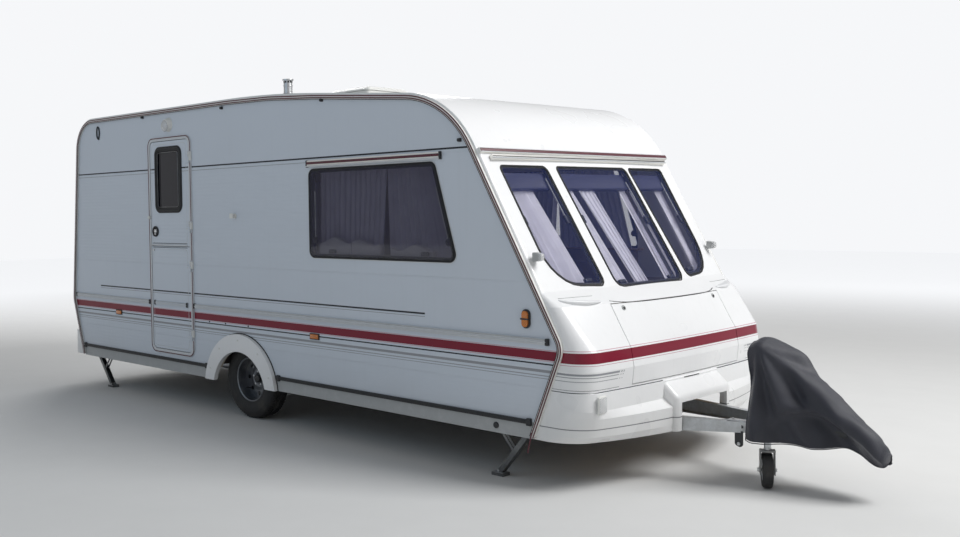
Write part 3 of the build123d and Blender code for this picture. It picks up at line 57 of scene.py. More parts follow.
camera_data = bpy.data.cameras.new("camera")
camera_data.sensor_width = 36.0
camera_data.lens = 38.806
camera_data.shift_x = 0.1541
camera_data.shift_y = -0.0208
camera = bpy.data.objects.new("camera", camera_data)
scene.collection.objects.link(camera)
HEADING = Matrix.Rotation(math.radians(48.0690), 3, "Z")
NOD = Matrix.Rotation(math.radians(-2.1708), 3, "X")
ROLL = Matrix.Rotation(math.radians(0.9305), 3, "Y")
look = HEADING @ NOD @ ROLL @ Matrix.Rotation(math.radians(90), 3, "X")
camera.matrix_world = Matrix.Translation((5.7844, -6.0681, 1.6804)) @ look.to_4x4()
scene.camera = camera

# ---------------------------------------------------------------- finishes


class Value:
    """A number or colour worked out over a surface, for plain arithmetic."""

    def __init__(self, paint, socket):
        self.paint = paint
        self.socket = socket

    def _sum(self, operation, *others):
        return self.paint.node("ShaderNodeMath", {"operation": operation}, *others)

    def __add__(self, other):
        return self._sum("ADD", self, other)

    def __sub__(self, other):
        return self._sum("SUBTRACT", self, other)

    def __mul__(self, other):
        return self._sum("MULTIPLY", self, other)

    def __radd__(self, other):
        return self._sum("ADD", other, self)

    def __rsub__(self, other):
        return self._sum("SUBTRACT", other, self)

    def __gt__(self, other):
        return self._sum("GREATER_THAN", self, other)

    def __lt__(self, other):
        return self._sum("LESS_THAN", self, other)

    def __abs__(self):
        return self._sum("ABSOLUTE", self)

    def larger(self, other):
        return self._sum("MAXIMUM", self, other)

    def wave(self):
        return self._sum("SINE", self)

    def between(self, low, high):
        return (self > low) * (self < high)

    def fade(self, low, high):
        """0 below low, 1 above high, smooth between."""
        return self.paint.node("ShaderNodeMapRange", {"interpolation_type": "SMOOTHSTEP"}, self, low, high)


class Paint:
    """One finish: a shader with its colour, roughness and bump worked out by nodes."""

    def __init__(self, name, colour, rough=0.5, metal=0.0, coat=0.0, **sockets):
        self.material = bpy.data.materials.new(name)
        self.material.use_nodes = True
        self.tree = self.material.node_tree
        self.shader = self.tree.nodes["Principled BSDF"]
        self.set("Base Color", colour)
        self.set("Roughness", rough)
        self.set("Metallic", metal)
        self.set("Coat Weight", coat)
        for socket, value in sockets.items():
            self.set(socket.replace("_", " "), value)
        self._place = None

    def set(self, socket, value):
        self._feed(self.shader.inputs[socket], value)

    def _feed(self, plug, value):
        if isinstance(value, Value):
            self.tree.links.new(value.socket, plug)
        elif plug.type == "RGBA" and len(value) == 3:
            plug.default_value = (*value, 1)
        else:
            plug.default_value = value

    def node(self, kind, settings=None, *values, out=0, **named):
        made = self.tree.nodes.new(kind)
        for setting, value in (settings or {}).items():
            setattr(made, setting, value)
        for number, value in enumerate(values):
            self._feed(made.inputs[number], value)
        for plug, value in named.items():
            self._feed(made.inputs[plug], value)
        return Value(self, made.outputs[out])

    def place(self):
        """Where a point of the surface is, in metres."""
        if self._place is None:
            self._place = self.node("ShaderNodeTexCoord", out=3)
        return self._place

    def xyz(self):
        made = self.tree.nodes.new("ShaderNodeSeparateXYZ")
        self.tree.links.new(self.place().socket, made.inputs[0])
        return [Value(self, made.outputs[number]) for number in range(3)]

    def stretched(self, *scale):
        return self.node("ShaderNodeVectorMath", {"operation": "MULTIPLY"}, self.place(), scale)

    def cloud(self, scale, detail=3.0, rough=0.6, at=None):
        """Soft random variation about 0.5."""
        return self.node("ShaderNodeTexNoise", None, at or self.place(), Scale=scale, Detail=detail, Roughness=rough)

    def cells(self, scale, out=0):
        return self.node("ShaderNodeTexVoronoi", None, self.place(), Scale=scale, out=out)

    def mix(self, share, below, above):
        made = self.tree.nodes.new("ShaderNodeMix")
        made.data_type = "RGBA"
        for plug, value in ((0, share), (6, below), (7, above)):
            self._feed(made.inputs[plug], value)
        return Value(self, made.outputs[2])

    def bump(self, height, distance, strength=1.0):
        self.set("Normal", self.node("ShaderNodeBump", None, Strength=strength, Distance=distance, Height=height))


# white of the flanks and door, painted darker and bluer: painted shade
SHADED_FLANK_WHITE = (0.60, 0.65, 0.715)
GELCOAT_WHITE = (0.82, 0.825, 0.83)
MAROON = (0.205, 0.005, 0.024)
PIN_PINK = (0.56, 0.33, 0.38)
BLACK_LINE = (0.018, 0.02, 0.026)
GREY_LINE = (0.30, 0.31, 0.33)
SEAM_SHADE = (0.05, 0.055, 0.065)
GRIME = (0.33, 0.31, 0.26)
RIB_PITCH = 0.031

# stripes on the flanks: bottom, top, back x, front x, colour
FLANK_STRIPES = (
    (2.0510, 2.0630, -3.60, 1.66, BLACK_LINE),
    (2.0250, 2.0290, -3.60, -0.02, GREY_LINE),
    (0.9800, 0.9920, -3.09, 1.145, BLACK_LINE),
    (0.9640, 0.9680, -3.09, 1.145, GREY_LINE),
    (0.8290, 0.8335, -3.60, 2.30, PIN_PINK),
    (0.7715, 0.8265, -3.60, 2.30, MAROON),
    (0.7645, 0.7685, -3.60, 2.30, PIN_PINK),
    (0.7430, 0.7520, -3.60, 2.30, BLACK_LINE),
    (0.6970, 0.7140, -3.60, 2.30, GREY_LINE),
    (0.6755, 0.6810, -3.60, 2.30, GREY_LINE),
    (0.6600, 0.6640, -3.60, 2.30, GREY_LINE),
)
# stripes round the front: bottom, top, colour
NOSE_STRIPES = ((0.8360, 0.8400, PIN_PINK), (0.7650, 0.8270, MAROON), (0.7520, 0.7555, PIN_PINK))
# grey lines low on the front's corners: bottom, top
NOSE_GREYS = ((0.6960, 0.7080), (0.6820, 0.6870), (0.6600, 0.6640))


def shaded(colour, share):
    return tuple(c * share for c in colour)


def weathered(paint, colour, amount=0.5):
    """Faint rain streaks, grime low down and a slow change of tone."""
    x, y, z = paint.xyz()
    streaks = paint.cloud(5.0, 2.0, 0.4, paint.stretched(6.0, 6.0, 0.30)).fade(0.50, 0.85) * (1.0 - z.fade(2.25, 2.42))
    low = 1.0 - z.fade(0.28, 0.62)
    blotches = paint.cloud(1.3, 2.0, 0.35).fade(0.35, 0.80)
    share = (streaks * 0.06 + low * (0.10 + blotches * 0.22) + blotches * 0.04) * amount
    return paint.mix(share, colour, GRIME)


def flank_skin(name, ribs):
    """White aluminium skin, its white painted as a darker blue-grey shade, with pressed ribs, painted stripes and a
    pale inner lining.
    """
    paint = Paint(name, SHADED_FLANK_WHITE, rough=0.34, coat=0.06, Specular_IOR_Level=0.35)
    x, y, z = paint.xyz()
    colour = weathered(paint, SHADED_FLANK_WHITE)
    for low, high, back, front, shade in FLANK_STRIPES:
        colour = paint.mix(z.between(low, high) * x.between(back, front), colour, shade)
    inside = abs(y) < (HALF_WIDTH - 0.004)
    lining = paint.mix(paint.cloud(40.0, 5.0), (0.52, 0.45, 0.36), (0.60, 0.53, 0.43))
    paint.set("Base Color", paint.mix(inside, colour, lining))
    rib = (z * (2 * math.pi / RIB_PITCH)).wave()
    upper = z.between(1.245, 2.01) * (x + (z - 1.24) * -0.30 < -0.10)
    lower = z.between(0.42, 0.736)
    field = (upper * 0.30 + lower * 0.22) * ribs
    line = z.between(1.224, 1.232).larger(z.between(0.600, 0.605)).larger(z.between(2.020, 2.034) * 0.6)
    stucco = paint.cloud(260.0, 2.0)
    paint.set("Roughness", 0.34 + paint.cloud(5.0, 2.0, 0.4) * 0.10)
    paint.bump(rib * field - line * 1.6 + stucco * 0.10 + paint.cloud(1.6, 1.0) * 0.9, 0.0011, 0.8)
    return paint


def moulding(name, stripes=True, tint=GELCOAT_WHITE):
    """Glossy white moulded glass fibre with a faint ripple."""
    paint = Paint(name, tint, rough=0.22, coat=0.22, Specular_IOR_Level=0.4)
    x, y, z = paint.xyz()
    colour = weathered(paint, tint, 0.6)
    if stripes:
        front = x > 1.9
        for low, high, shade in NOSE_STRIPES:
            colour = paint.mix(z.between(low, high) * front, colour, shade)
        slant = abs(y) + (z - 0.66) * 0.35
        dashes = slant.between(0.772, 0.782).larger(slant.between(0.752, 0.760))
        for low, high in NOSE_GREYS:
            colour = paint.mix(z.between(low, high) * front * (slant > 0.795).larger(dashes), colour, GREY_LINE)
        seam = z.between(0.5935, 0.5985) * front * (abs(y) > 0.335)
        fine = z.between(0.6085, 0.6110) * front * (abs(y) > 0.775)
        groove = z.between(0.3740, 0.3800) * front
        colour = paint.mix(seam.larger(groove * 0.8).larger(fine), colour, SEAM_SHADE)
    paint.set("Base Color", colour)
    paint.set("Roughness", 0.24 + paint.cloud(4.0, 2.0, 0.4) * 0.10)
    paint.bump(paint.cloud(2.4, 1.0) + paint.cloud(120.0, 2.0) * 0.02, 0.0014, 0.4)
    return paint


def plastic(name, colour, rough=0.45, grain=700.0, coat=0.0, worn=0.25):
    """Moulded plastic, paint or board with a fine grain, paler where it is worn."""
    paint = Paint(name, colour, rough=rough, coat=coat)
    lighter = tuple(min(1.0, c * 1.5 + 0.03) for c in colour)
    paint.set("Base Color", paint.mix(paint.cloud(18.0, 5.0).fade(0.45, 0.85) * worn, colour, lighter))
    paint.set("Roughness", rough - 0.06 + paint.cloud(30.0, 4.0) * 0.14)
    paint.bump(paint.cells(grain), 0.0002, 0.4)
    return paint


def galvanised_steel(name, tint=(0.56, 0.58, 0.60)):
    paint = Paint(name, tint, rough=0.42, metal=0.85)
    dull = paint.cloud(7.0, 4.0).fade(0.42, 0.72)
    bright = paint.mix(paint.cells(55.0, out=1) * 0.5, tint, shaded(tint, 0.72))
    paint.set("Base Color", paint.mix(dull * 0.5, bright, (0.40, 0.40, 0.38)))
    paint.set("Roughness", 0.34 + dull * 0.26)
    paint.set("Metallic", 0.9 - dull * 0.35)
    paint.bump(paint.cloud(160.0, 3.0), 0.0003, 0.5)
    return paint


def tinted_acrylic(name, tint, alpha):
    paint = Paint(name, tint, rough=0.06, coat=0.6, Alpha=alpha)
    paint.set("Roughness", 0.035 + paint.cloud(20.0, 4.0).fade(0.5, 0.9) * 0.10)
    paint.bump(paint.cloud(5.0, 1.0), 0.0006, 0.25)
    return paint


def net_curtain(name, tint, glow):
    """Thin pleated net; glow is a painted glow that stands in for the daylight coming through it from behind."""
    paint = Paint(name, tint, rough=0.9, Sheen_Weight=0.3, Emission_Color=tint, Emission_Strength=glow)
    threads = (paint.xyz()[2] * 2400.0).wave()
    paint.set("Base Color", paint.mix(paint.cloud(12.0, 4.0), tint, shaded(tint, 0.72)))
    paint.bump(threads + paint.cloud(900.0), 0.0003, 0.5)
    return paint


def coated_cloth(name):
    """Charcoal coated cover cloth: fine weave, dusty on the folds."""
    paint = Paint(name, (0.038, 0.041, 0.055), rough=0.52, Sheen_Weight=0.15)
    x, y, z = paint.xyz()
    dust = paint.cloud(9.0, 5.0, 0.65).fade(0.45, 0.8)
    paint.set("Base Color", paint.mix(dust * 0.5, (0.022, 0.024, 0.036), (0.055, 0.057, 0.074)))
    paint.set("Roughness", 0.44 + dust * 0.22)
    weave = ((x + y) * 2600.0).wave() * ((z - y) * 2600.0).wave()
    paint.bump(weave * 0.35 + paint.cloud(26.0, 5.0) * 2.2, 0.0012, 0.55)
    return paint


def tyre_rubber(name):
    paint = Paint(name, (0.022, 0.022, 0.023), rough=0.72)
    dust = paint.cloud(11.0, 5.0).fade(0.42, 0.78)
    paint.set("Base Color", paint.mix(dust * 0.6, (0.018, 0.018, 0.019), (0.085, 0.078, 0.066)))
    paint.set("Roughness", 0.62 + dust * 0.25)
    paint.bump(paint.cloud(220.0, 3.0), 0.0005, 0.5)
    return paint


def lens(name, colour, ribs=420.0):
    """Moulded lens with fine crossed ribs."""
    paint = Paint(name, colour, rough=0.12, coat=0.8)
    x, y, z = paint.xyz()
    ridges = ((x + y) * ribs).wave() * (z * ribs).wave()
    paint.set("Base Color", paint.mix(ridges.fade(-0.4, 0.8), shaded(colour, 0.45), colour))
    paint.bump(ridges, 0.0006, 0.7)
    return paint


finish = {
    "flank": flank_skin("skin_ribbed", 1.0),
    "door": flank_skin("skin_door", 0.8),
    "gelcoat": moulding("gelcoat"),
    "plain_gelcoat": moulding("gelcoat_plain", False),
    "roof": moulding("roof_skin", False, (0.78, 0.79, 0.78)),
    "black": plastic("black_plastic", (0.020, 0.021, 0.023)),
    "rubber": plastic("rubber_seal", (0.014, 0.014, 0.015), 0.62, 900.0),
    "grey": plastic("grey_plastic", (0.40, 0.41, 0.41), 0.5),
    "white_plastic": plastic("white_plastic", (0.74, 0.74, 0.71), 0.35, 500.0, 0.2, 0.1),
    "trim": plastic("cool_trim", (0.58, 0.60, 0.62), 0.4, 500.0, 0.2, 0.2),
    "maroon": plastic("maroon_insert", (0.095, 0.018, 0.028), 0.45, 600.0),
    "zinc": galvanised_steel("galvanised"),
    "bright": galvanised_steel("bright_metal", (0.72, 0.73, 0.74)),
    "cast": plastic("painted_casting", (0.03, 0.032, 0.034), 0.5, 300.0, 0.1),
    # front panes: the acrylic's own blue tint, made stronger as a painted sky reflection
    "front_glass_painted_sky": tinted_acrylic("front_acrylic_painted_sky", (0.030, 0.050, 0.20), 0.13),
    "side_glass": tinted_acrylic("side_acrylic", (0.022, 0.022, 0.060), 0.36),
    "door_glass": tinted_acrylic("door_acrylic", (0.008, 0.008, 0.014), 0.93),
    "net": net_curtain("net_curtain", (0.86, 0.84, 0.94), 0.07),
    # darker copy of the net curtain: painted shade for the flank and rear curtains
    "net_in_painted_shade": net_curtain("net_curtain_painted_shade", (0.56, 0.55, 0.70), 0.012),
    "blind": net_curtain("door_blind", (0.10, 0.09, 0.13), 0.0),
    "cover": coated_cloth("cover_cloth"),
    "pull": plastic("grab_plastic", (0.78, 0.79, 0.80), 0.3, 500.0, 0.3, 0.1),
    "reflector": lens("white_reflector", (0.86, 0.87, 0.88)),
    # deep blue of the blind boxes: painted sky reflection at the top of the front panes
    "blind_box_painted_sky": plastic("blind_box_painted_sky", (0.028, 0.032, 0.085), 0.5, 500.0),
    "pillow": plastic("pale_cushion", (0.50, 0.49, 0.55), 0.9, 520.0, 0.0, 0.5),
    "hub": plastic("hub_plastic", (0.42, 0.43, 0.44), 0.35, 500.0, 0.2),
    "hub_cap": plastic("black_paint", (0.022, 0.023, 0.024), 0.38, 250.0, 0.2, 0.4),
    "tyre": tyre_rubber("tyre_rubber"),
    "wheel": galvanised_steel("wheel_paint", (0.20, 0.21, 0.23)),
    "amber": lens("amber_lens", (0.90, 0.26, 0.02)),
    "red": lens("red_lens", (0.55, 0.010, 0.012)),
    "clear": lens("clear_lens", (0.80, 0.80, 0.78)),
    "board": plastic("sealed_board", (0.065, 0.055, 0.045), 0.8, 200.0),
    "ply": plastic("varnished_board", (0.45, 0.31, 0.18), 0.45, 90.0),
    # darker copy of the galvanised steel: painted shade on the steady legs and jockey fork; it also colours the door
    # window's bead
    "zinc_in_painted_shade": galvanised_steel("steel_in_painted_shade", (0.16, 0.165, 0.17)),
}


def paint_over(piece, finish_name):
    piece.data.materials.clear()
    piece.data.materials.append(finish[finish_name].material)
    for face in piece.data.polygons:
        face.material_index = 0


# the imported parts, by the finish they get
DRESSED = {
    "flank": ("side_wall_right", "side_wall_left"),
    "door": ("door_upper", "door_lower", "cassette_door"),
    "gelcoat": ("front_nose", "gas_locker_lid"),
    "plain_gelcoat": ("front_cap", "front_panel", "rear_panel", "wheel_spats", "grab_handles", "rear_bumper"),
    "white_plastic": ("rooflight_frame", "rooflight_lid", "fridge_vents", "awning_light", "awning_rails"),
    "roof": ("roof_panel",),
    "black": ("window_frames", "lower_rails"),
    "grey": ("side_skirts",),
    "trim": ("door_frame", "rub_rails"),
    "board": ("floor_panel", "wheel_boxes"),
    "ply": ("gas_locker_box", "cassette_box"),
    "front_glass_painted_sky": ("front_windows",),
    "side_glass": ("window_panes",),
    "door_glass": ("door_pane",),
    "zinc": ("chassis_rails", "draw_bar", "axle", "steady_frames", "jockey_tube", "jockey_post"),
    "zinc_in_painted_shade": ("jockey_fork", *(node for node in parts if node.startswith(("steady_leg", "steady_brace")))),
    "cast": ("coupling_head", "handbrake_lever"),
    "tyre": ("tyre_right", "tyre_left", "jockey_wheel"),
    "wheel": ("rim_right", "rim_left"),
    "amber": ("side_lamps",),
    "red": ("rear_lamps",),
    "clear": ("front_lamps",),
    "bright": ("flue",),
    "cover": ("hitch_cover",),
}
for finish_name, nodes in DRESSED.items():
    for node in nodes:
        paint_over(parts[node], finish_name)

# ---------------------------------------------------------------- bench tools

# steps for edit()
ALL = ("mesh.select_all", {"action": "SELECT"})
OUTWARD = ("mesh.normals_make_consistent", {"inside": False})
FLIP = ("mesh.flip_normals",)


def take(piece):
    """Makes one piece the active and only selected one."""
    bpy.ops.object.select_all(action="DESELECT")
    piece.select_set(True)
    bpy.context.view_layer.objects.active = piece
    return piece


def begin(name, kind, **settings):
    """Adds a primitive and names it."""
    bpy.ops.object.select_all(action="DESELECT")
    getattr(bpy.ops.mesh, "primitive_" + kind + "_add")(**settings)
    piece = bpy.context.active_object
    piece.name = name
    piece.data.name = name
    return piece


def drawn(name, points, edges=(), faces=()):
    """A mesh from its points, with edges and faces given by the points' numbers."""
    mesh = bpy.data.meshes.new(name)
    made = bmesh.new()
    corners = [made.verts.new(point) for point in points]
    for a, b in edges:
        made.edges.new((corners[a], corners[b]))
    for face in faces:
        made.faces.new([corners[k] for k in face])
    made.to_mesh(mesh)
    made.free()
    piece = bpy.data.objects.new(name, mesh)
    scene.collection.objects.link(piece)
    return piece


def block(name, low, high):
    """A block between two corners, ready to be shaped."""
    piece = begin(name, "cube", size=1.0)
    piece.scale = [b - a for a, b in zip(low, high)]
    piece.location = [(a + b) / 2 for a, b in zip(low, high)]
    take(piece)
    bpy.ops.object.transform_apply(location=True, rotation=True, scale=True)
    return piece


def side_block(name, side, along, out, up):
    """A block on one flank, from and to along it, out from the centre line and up."""
    across = sorted(side * c for c in out)
    return block(name, (along[0], across[0], up[0]), (along[1], across[1], up[1]))


def pick(piece, test):
    """In edit mode, leaves selected the faces that pass the test on their middle and normal."""
    bpy.ops.mesh.select_mode(type="FACE")
    bpy.ops.mesh.select_all(action="DESELECT")
    mesh = bmesh.from_edit_mesh(piece.data)
    for face in mesh.faces:
        if test(face.calc_center_median(), face.normal):
            face.select_set(True)
    mesh.select_flush_mode()
    bmesh.update_edit_mesh(piece.data)


def edit(piece, *steps):
    """Runs edit-mode steps in turn: each is a test of faces, or an operator's name with its settings."""
    take(piece)
    bpy.ops.object.mode_set(mode="EDIT")
    for step in steps:
        if callable(step):
            pick(piece, step)
        else:
            group, operator = step[0].split(".")
            getattr(getattr(bpy.ops, group), operator)(**(step[1] if len(step) > 1 else {}))
    bpy.ops.object.mode_set(mode="OBJECT")
    return piece


def facing(way):
    """A test for faces that look one way, such as -y."""
    sign, axis = (-1 if way[0] == "-" else 1), "xyz".index(way[1])
    return lambda centre, normal: sign * normal[axis] > 0.9


def press(piece, way, *moves, scale=None):
    """Shapes the faces that look one way: scales them, then insets and shifts them, once for each move."""
    steps = [facing(way)]
    if scale:
        steps.append(("transform.resize", {"value": scale}))
    for inset, shift in moves:
        if inset:
            steps.append(("mesh.inset", {"thickness": inset}))
        steps.append(("transform.translate", {"value": shift}))
    return edit(piece, *steps)


def modify(piece, kind, **settings):
    """Adds a modifier and applies it."""
    take(piece)
    modifier = piece.modifiers.new(kind.lower(), kind)
    for setting, value in settings.items():
        setattr(modifier, setting, value)
    bpy.ops.object.modifier_apply(modifier=modifier.name)
    return piece


def smooth(piece, angle=35):
    take(piece)
    bpy.ops.object.shade_smooth_by_angle(angle=math.radians(angle))
    return piece


def soften(piece, width, segments=2):
    """Rounds the sharp edges."""
    modify(piece, "BEVEL", width=width, segments=segments, limit_method="ANGLE", angle_limit=math.radians(30))
    return smooth(piece)


def turn(piece, angle, axis):
    """Turns a piece about an axis through the origin, in degrees."""
    piece.data.transform(Matrix.Rotation(math.radians(angle), 4, axis))
    return piece


def move(piece, *by):
    piece.data.transform(Matrix.Translation(by))
    return piece


def copied(piece, name):
    twin = piece.copy()
    twin.data = piece.data.copy()
    twin.name = name
    twin.data.name = name
    scene.collection.objects.link(twin)
    return twin


def mirrored(piece, name):
    """A twin on the other side of the centre line."""
    twin = copied(piece, name)
    twin.data.transform(Matrix.Diagonal((1, -1, 1, 1)))
    return edit(twin, ALL, FLIP)


def join(name, pieces):
    bpy.ops.object.select_all(action="DESELECT")
    for piece in pieces:
        piece.select_set(True)
    bpy.context.view_layer.objects.active = pieces[0]
    if len(pieces) > 1:
        bpy.ops.object.join()
    pieces[0].name = name
    pieces[0].data.name = name
    return pieces[0]


def fit(piece, finish_name, body=CHASSIS):
    """Gives a finished piece its material and the body it rides on."""
    paint_over(piece, finish_name)
    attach(piece, body)
    return piece


def rod(name, route, radius, closed=False, sides=2):
    """A round bar or bead along a route of points, as a mesh."""
    curve = bpy.data.curves.new(name, "CURVE")
    curve.dimensions = "3D"
    curve.bevel_depth = radius
    curve.bevel_resolution = sides
    curve.use_fill_caps = not closed
    line = curve.splines.new("POLY")
    line.points.add(len(route) - 1)
    for point, place in zip(line.points, route):
        point.co = (*place, 1)
    line.use_cyclic_u = closed
    piece = bpy.data.objects.new(name, curve)
    scene.collection.objects.link(piece)
    take(piece)
    bpy.ops.object.convert(target="MESH")
    piece = bpy.context.active_object
    piece.data.name = name
    edit(piece, ALL, ("mesh.remove_doubles", {"threshold": 0.00002}), OUTWARD)
    return smooth(piece, 50)


def bead(name, place, outline, out, radius):
    """A closed bead along an outline on a surface, standing proud of it by out."""
    return rod(name, [place(a, b, out) for a, b in outline], radius, True, 1)


def rounded(corners, step=15):
    """A flat outline through corners (a, b, radius) with its corners rounded, as a list of (a, b)."""
    line = []
    count = len(corners)
    for number, (a, b, radius) in enumerate(corners):
        here = Vector((a, b))
        back = (Vector(corners[number - 1][:2]) - here).normalized()
        on = (Vector(corners[(number + 1) % count][:2]) - here).normalized()
        half = back.angle(on) / 2
        centre = here + (back + on).normalized() * (radius / math.sin(half))
        first = here + back * (radius / math.tan(half)) - centre
        last = here + on * (radius / math.tan(half)) - centre
        sweep = first.angle_signed(last)
        pieces_of_arc = max(2, int(abs(math.degrees(sweep)) / step) + 1)
        for k in range(pieces_of_arc + 1):
            turned = Matrix.Rotation(-sweep * k / pieces_of_arc, 2) @ first
            line.append(tuple(centre + turned))
    return line


def oblong(a0, b0, a1, b1, radius, step=15):
    """A rounded oblong between two corners."""
    return rounded(((a0, b0, radius), (a1, b0, radius), (a1, b1, radius), (a0, b1, radius)), step)


def grown(outline, amount):
    """An outline moved outward by an amount, corner by corner."""
    count = len(outline)
    area = sum(outline[k - 1][0] * outline[k][1] - outline[k][0] * outline[k - 1][1] for k in range(count))
    turn_way = 1 if area > 0 else -1
    moved = []
    for k, (a, b) in enumerate(outline):
        back = (Vector((a, b)) - Vector(outline[k - 1])).normalized()
        on = (Vector(outline[(k + 1) % count]) - Vector((a, b))).normalized()
        across_way = Vector((back.y + on.y, -back.x - on.x)).normalized()
        lean = max(0.5, across_way.dot(Vector((on.y, -on.x))))
        moved.append(tuple(Vector((a, b)) + across_way * (amount * turn_way / lean)))
    return moved


def ring(name, outer, inner, place, thick):
    """A flat frame between two outlines of as many points. place(a, b, out) gives a point standing proud by out."""
    count = len(outer)
    points = [place(a, b, 0.0) for a, b in [*outer, *inner]]
    edges = [(start + (k - 1) % count, start + k) for start in (0, count) for k in range(count)]
    piece = edit(drawn(name, points, edges), ALL, ("mesh.bridge_edge_loops",), OUTWARD)
    ahead = sum((Vector(place(a, b, 1.0)) - Vector(place(a, b, 0.0)) for a, b in outer), Vector())
    if piece.data.polygons[0].normal.dot(ahead) < 0:
        edit(piece, ALL, FLIP)
    return modify(piece, "SOLIDIFY", thickness=thick, offset=1.0)


def disc(name, centre, axis, radius, thick, rim=0.0, sides=24):
    """A round button: a cylinder whose outer edge is rounded, its back at centre."""
    piece = begin(name, "cylinder", vertices=sides, radius=radius, depth=thick)
    move(piece, 0, 0, thick / 2)
    if rim:
        edit(piece, facing("+z"), ("mesh.bevel", {"offset": rim, "segments": 3, "affect": "EDGES"}))
    piece.data.transform(Vector((0, 0, 1)).rotation_difference(Vector(axis)).to_matrix().to_4x4())
    return smooth(move(piece, *centre))


def plate(name, outline, at, thick):
    """A flat plate cut to an outline of (x, z), its one face at across = at and the other thick further left."""
    piece = drawn(name, [(x, at, z) for x, z in outline], faces=[range(len(outline))])
    push = ("mesh.extrude_region_move", {"TRANSFORM_OT_translate": {"value": (0, thick, 0)}})
    return edit(piece, ALL, push, ALL, OUTWARD)


def revolved(name, section, steps, closed=False):
    """A ring turned about the Y axis from points (radius, across)."""
    edges = [(k - 1 if k else len(section) - 1, k) for k in range(0 if closed else 1, len(section))]
    piece = drawn(name, [(radius, across_way, 0) for radius, across_way in section], edges)
    modify(piece, "SCREW", axis="Y", steps=steps, render_steps=steps, use_merge_vertices=True, merge_threshold=0.00005)
    return edit(piece, ALL, OUTWARD)


def both_ways(section):
    """A half section with its mirror image."""
    return [*section, *((radius, -across_way) for radius, across_way in reversed(section))]


def lofted(name, sections):
    """A closed body through sections of as many points, capped at both ends."""
    count, last = len(sections[0]), (len(sections) - 1) * len(sections[0])
    faces = [
        (start + (k - 1) % count, start + k, start + count + k, start + count + (k - 1) % count)
        for start in range(0, last, count)
        for k in range(count)
    ]
    faces += [range(count), range(last + count - 1, last - 1, -1)]
    return edit(drawn(name, [point for section in sections for point in section], faces=faces), ALL, OUTWARD)


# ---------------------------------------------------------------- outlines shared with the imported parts

# corners of the flank seen from the side: x, z, corner radius
FLANK_OUTLINE = (
    (-3.417, 0.288, 0.010),
    (-3.600, 0.836, 0.150),
    (-3.443, 2.562, 0.280),
    (-0.450, 2.550, 12.000),
    (1.377, 2.382, 0.705),
    (2.230, 0.846, 0.130),
    (2.009, 0.288, 0.010),
)
FLANK_EDGE = rounded(FLANK_OUTLINE, 5)
ROOF_EDGE = sorted(p for p in FLANK_EDGE if p[1] > 2.25)
# the front, level by level: z, x at the middle, bow of the curve
FRONT_LEVELS = (
    (0.290, 2.510, 0.250),
    (0.330, 2.509, 0.190),
    (0.440, 2.509, 0.150),
    (0.486, 2.440, 0.062),
    (0.592, 2.438, 0.060),
    (0.600, 2.428, 0.060),
    (0.716, 2.436, 0.046),
    (0.830, 2.414, 0.038),
    (1.085, 2.299, 0.115),
    (1.120, 2.236, 0.100),
    (1.168, 2.149, 0.075),
    (2.031, 1.617, 0.006),
)
BROW_X, BROW_Z = 1.617, 2.031
FRONT_LEAN = math.atan((2.149 - BROW_X) / (BROW_Z - 1.168))
FRONT_TILT = math.degrees(FRONT_LEAN)
REAR_LEAN = math.atan2(-3.443 + 3.600, 2.547 - 0.836)
REAR_MIDDLE = 1.650
REAR_FACE = -3.600 + (REAR_MIDDLE - 0.836) * math.tan(REAR_LEAN) - 0.028 / math.cos(REAR_LEAN)


def front_x(y, z):
    """Where the front's skin is at a place across and up, without its rounded corners."""
    middle, bow = FRONT_LEVELS[-1][1:]
    for low, high in zip(FRONT_LEVELS, FRONT_LEVELS[1:]):
        if low[0] <= z <= high[0]:
            share = (z - low[0]) / (high[0] - low[0])
            middle, bow = (a + (b - a) * share for a, b in zip(low[1:], high[1:]))
            break
    radius = (HALF_WIDTH**2 + bow**2) / (2 * bow)
    return middle - radius + math.sqrt(radius**2 - y * y)


def front_place(y, z, out):
    return (front_x(y, z) + out * math.cos(FRONT_LEAN), y, z + out * math.sin(FRONT_LEAN))


def on_front(z, proud):
    """A point on the raked front's middle at a height, standing proud of it."""
    x = BROW_X + (BROW_Z - z) * math.tan(FRONT_LEAN) + proud * math.cos(FRONT_LEAN)
    return x, 0, z + proud * math.sin(FRONT_LEAN)


def behind_front(y, z, out):
    return front_place(y, z, -0.075 + out)


def flank_place(side, level=HALF_WIDTH):
    return lambda x, z, out: (x, side * (level + out), z)


def rear_place(y, z, out):
    """A point on the rear face, z measured along the face from the window's middle."""
    return (
        REAR_FACE + z * math.sin(REAR_LEAN) - out * math.cos(REAR_LEAN),
        y,
        REAR_MIDDLE + z * math.cos(REAR_LEAN) + out * math.sin(REAR_LEAN),
    )


def behind_rear(y, z, out):
    return rear_place(y, z, -0.070 + out)


def roof_z(x):
    """Height of the roof skin over the centre line."""
    for (xa, za), (xb, zb) in zip(ROOF_EDGE, ROOF_EDGE[1:]):
        if xa <= x <= xb:
            return za + (zb - za) * (x - xa) / max(xb - xa, 1e-6)
    return ROOF_EDGE[-1][1]


def arc(x, z, radius_x, radius_z, degrees, y):
    """Points of an arc seen from the side."""
    turns = [math.radians(a) for a in degrees]
    return [(x + radius_x * math.cos(a), y, z + radius_z * math.sin(a)) for a in turns]


# ---------------------------------------------------------------- seals, beads and strips

FLANK_LINE = [(-3.421, 0.300)] + [p for p in FLANK_EDGE if p[1] > 0.31] + [(2.0138, 0.300)]
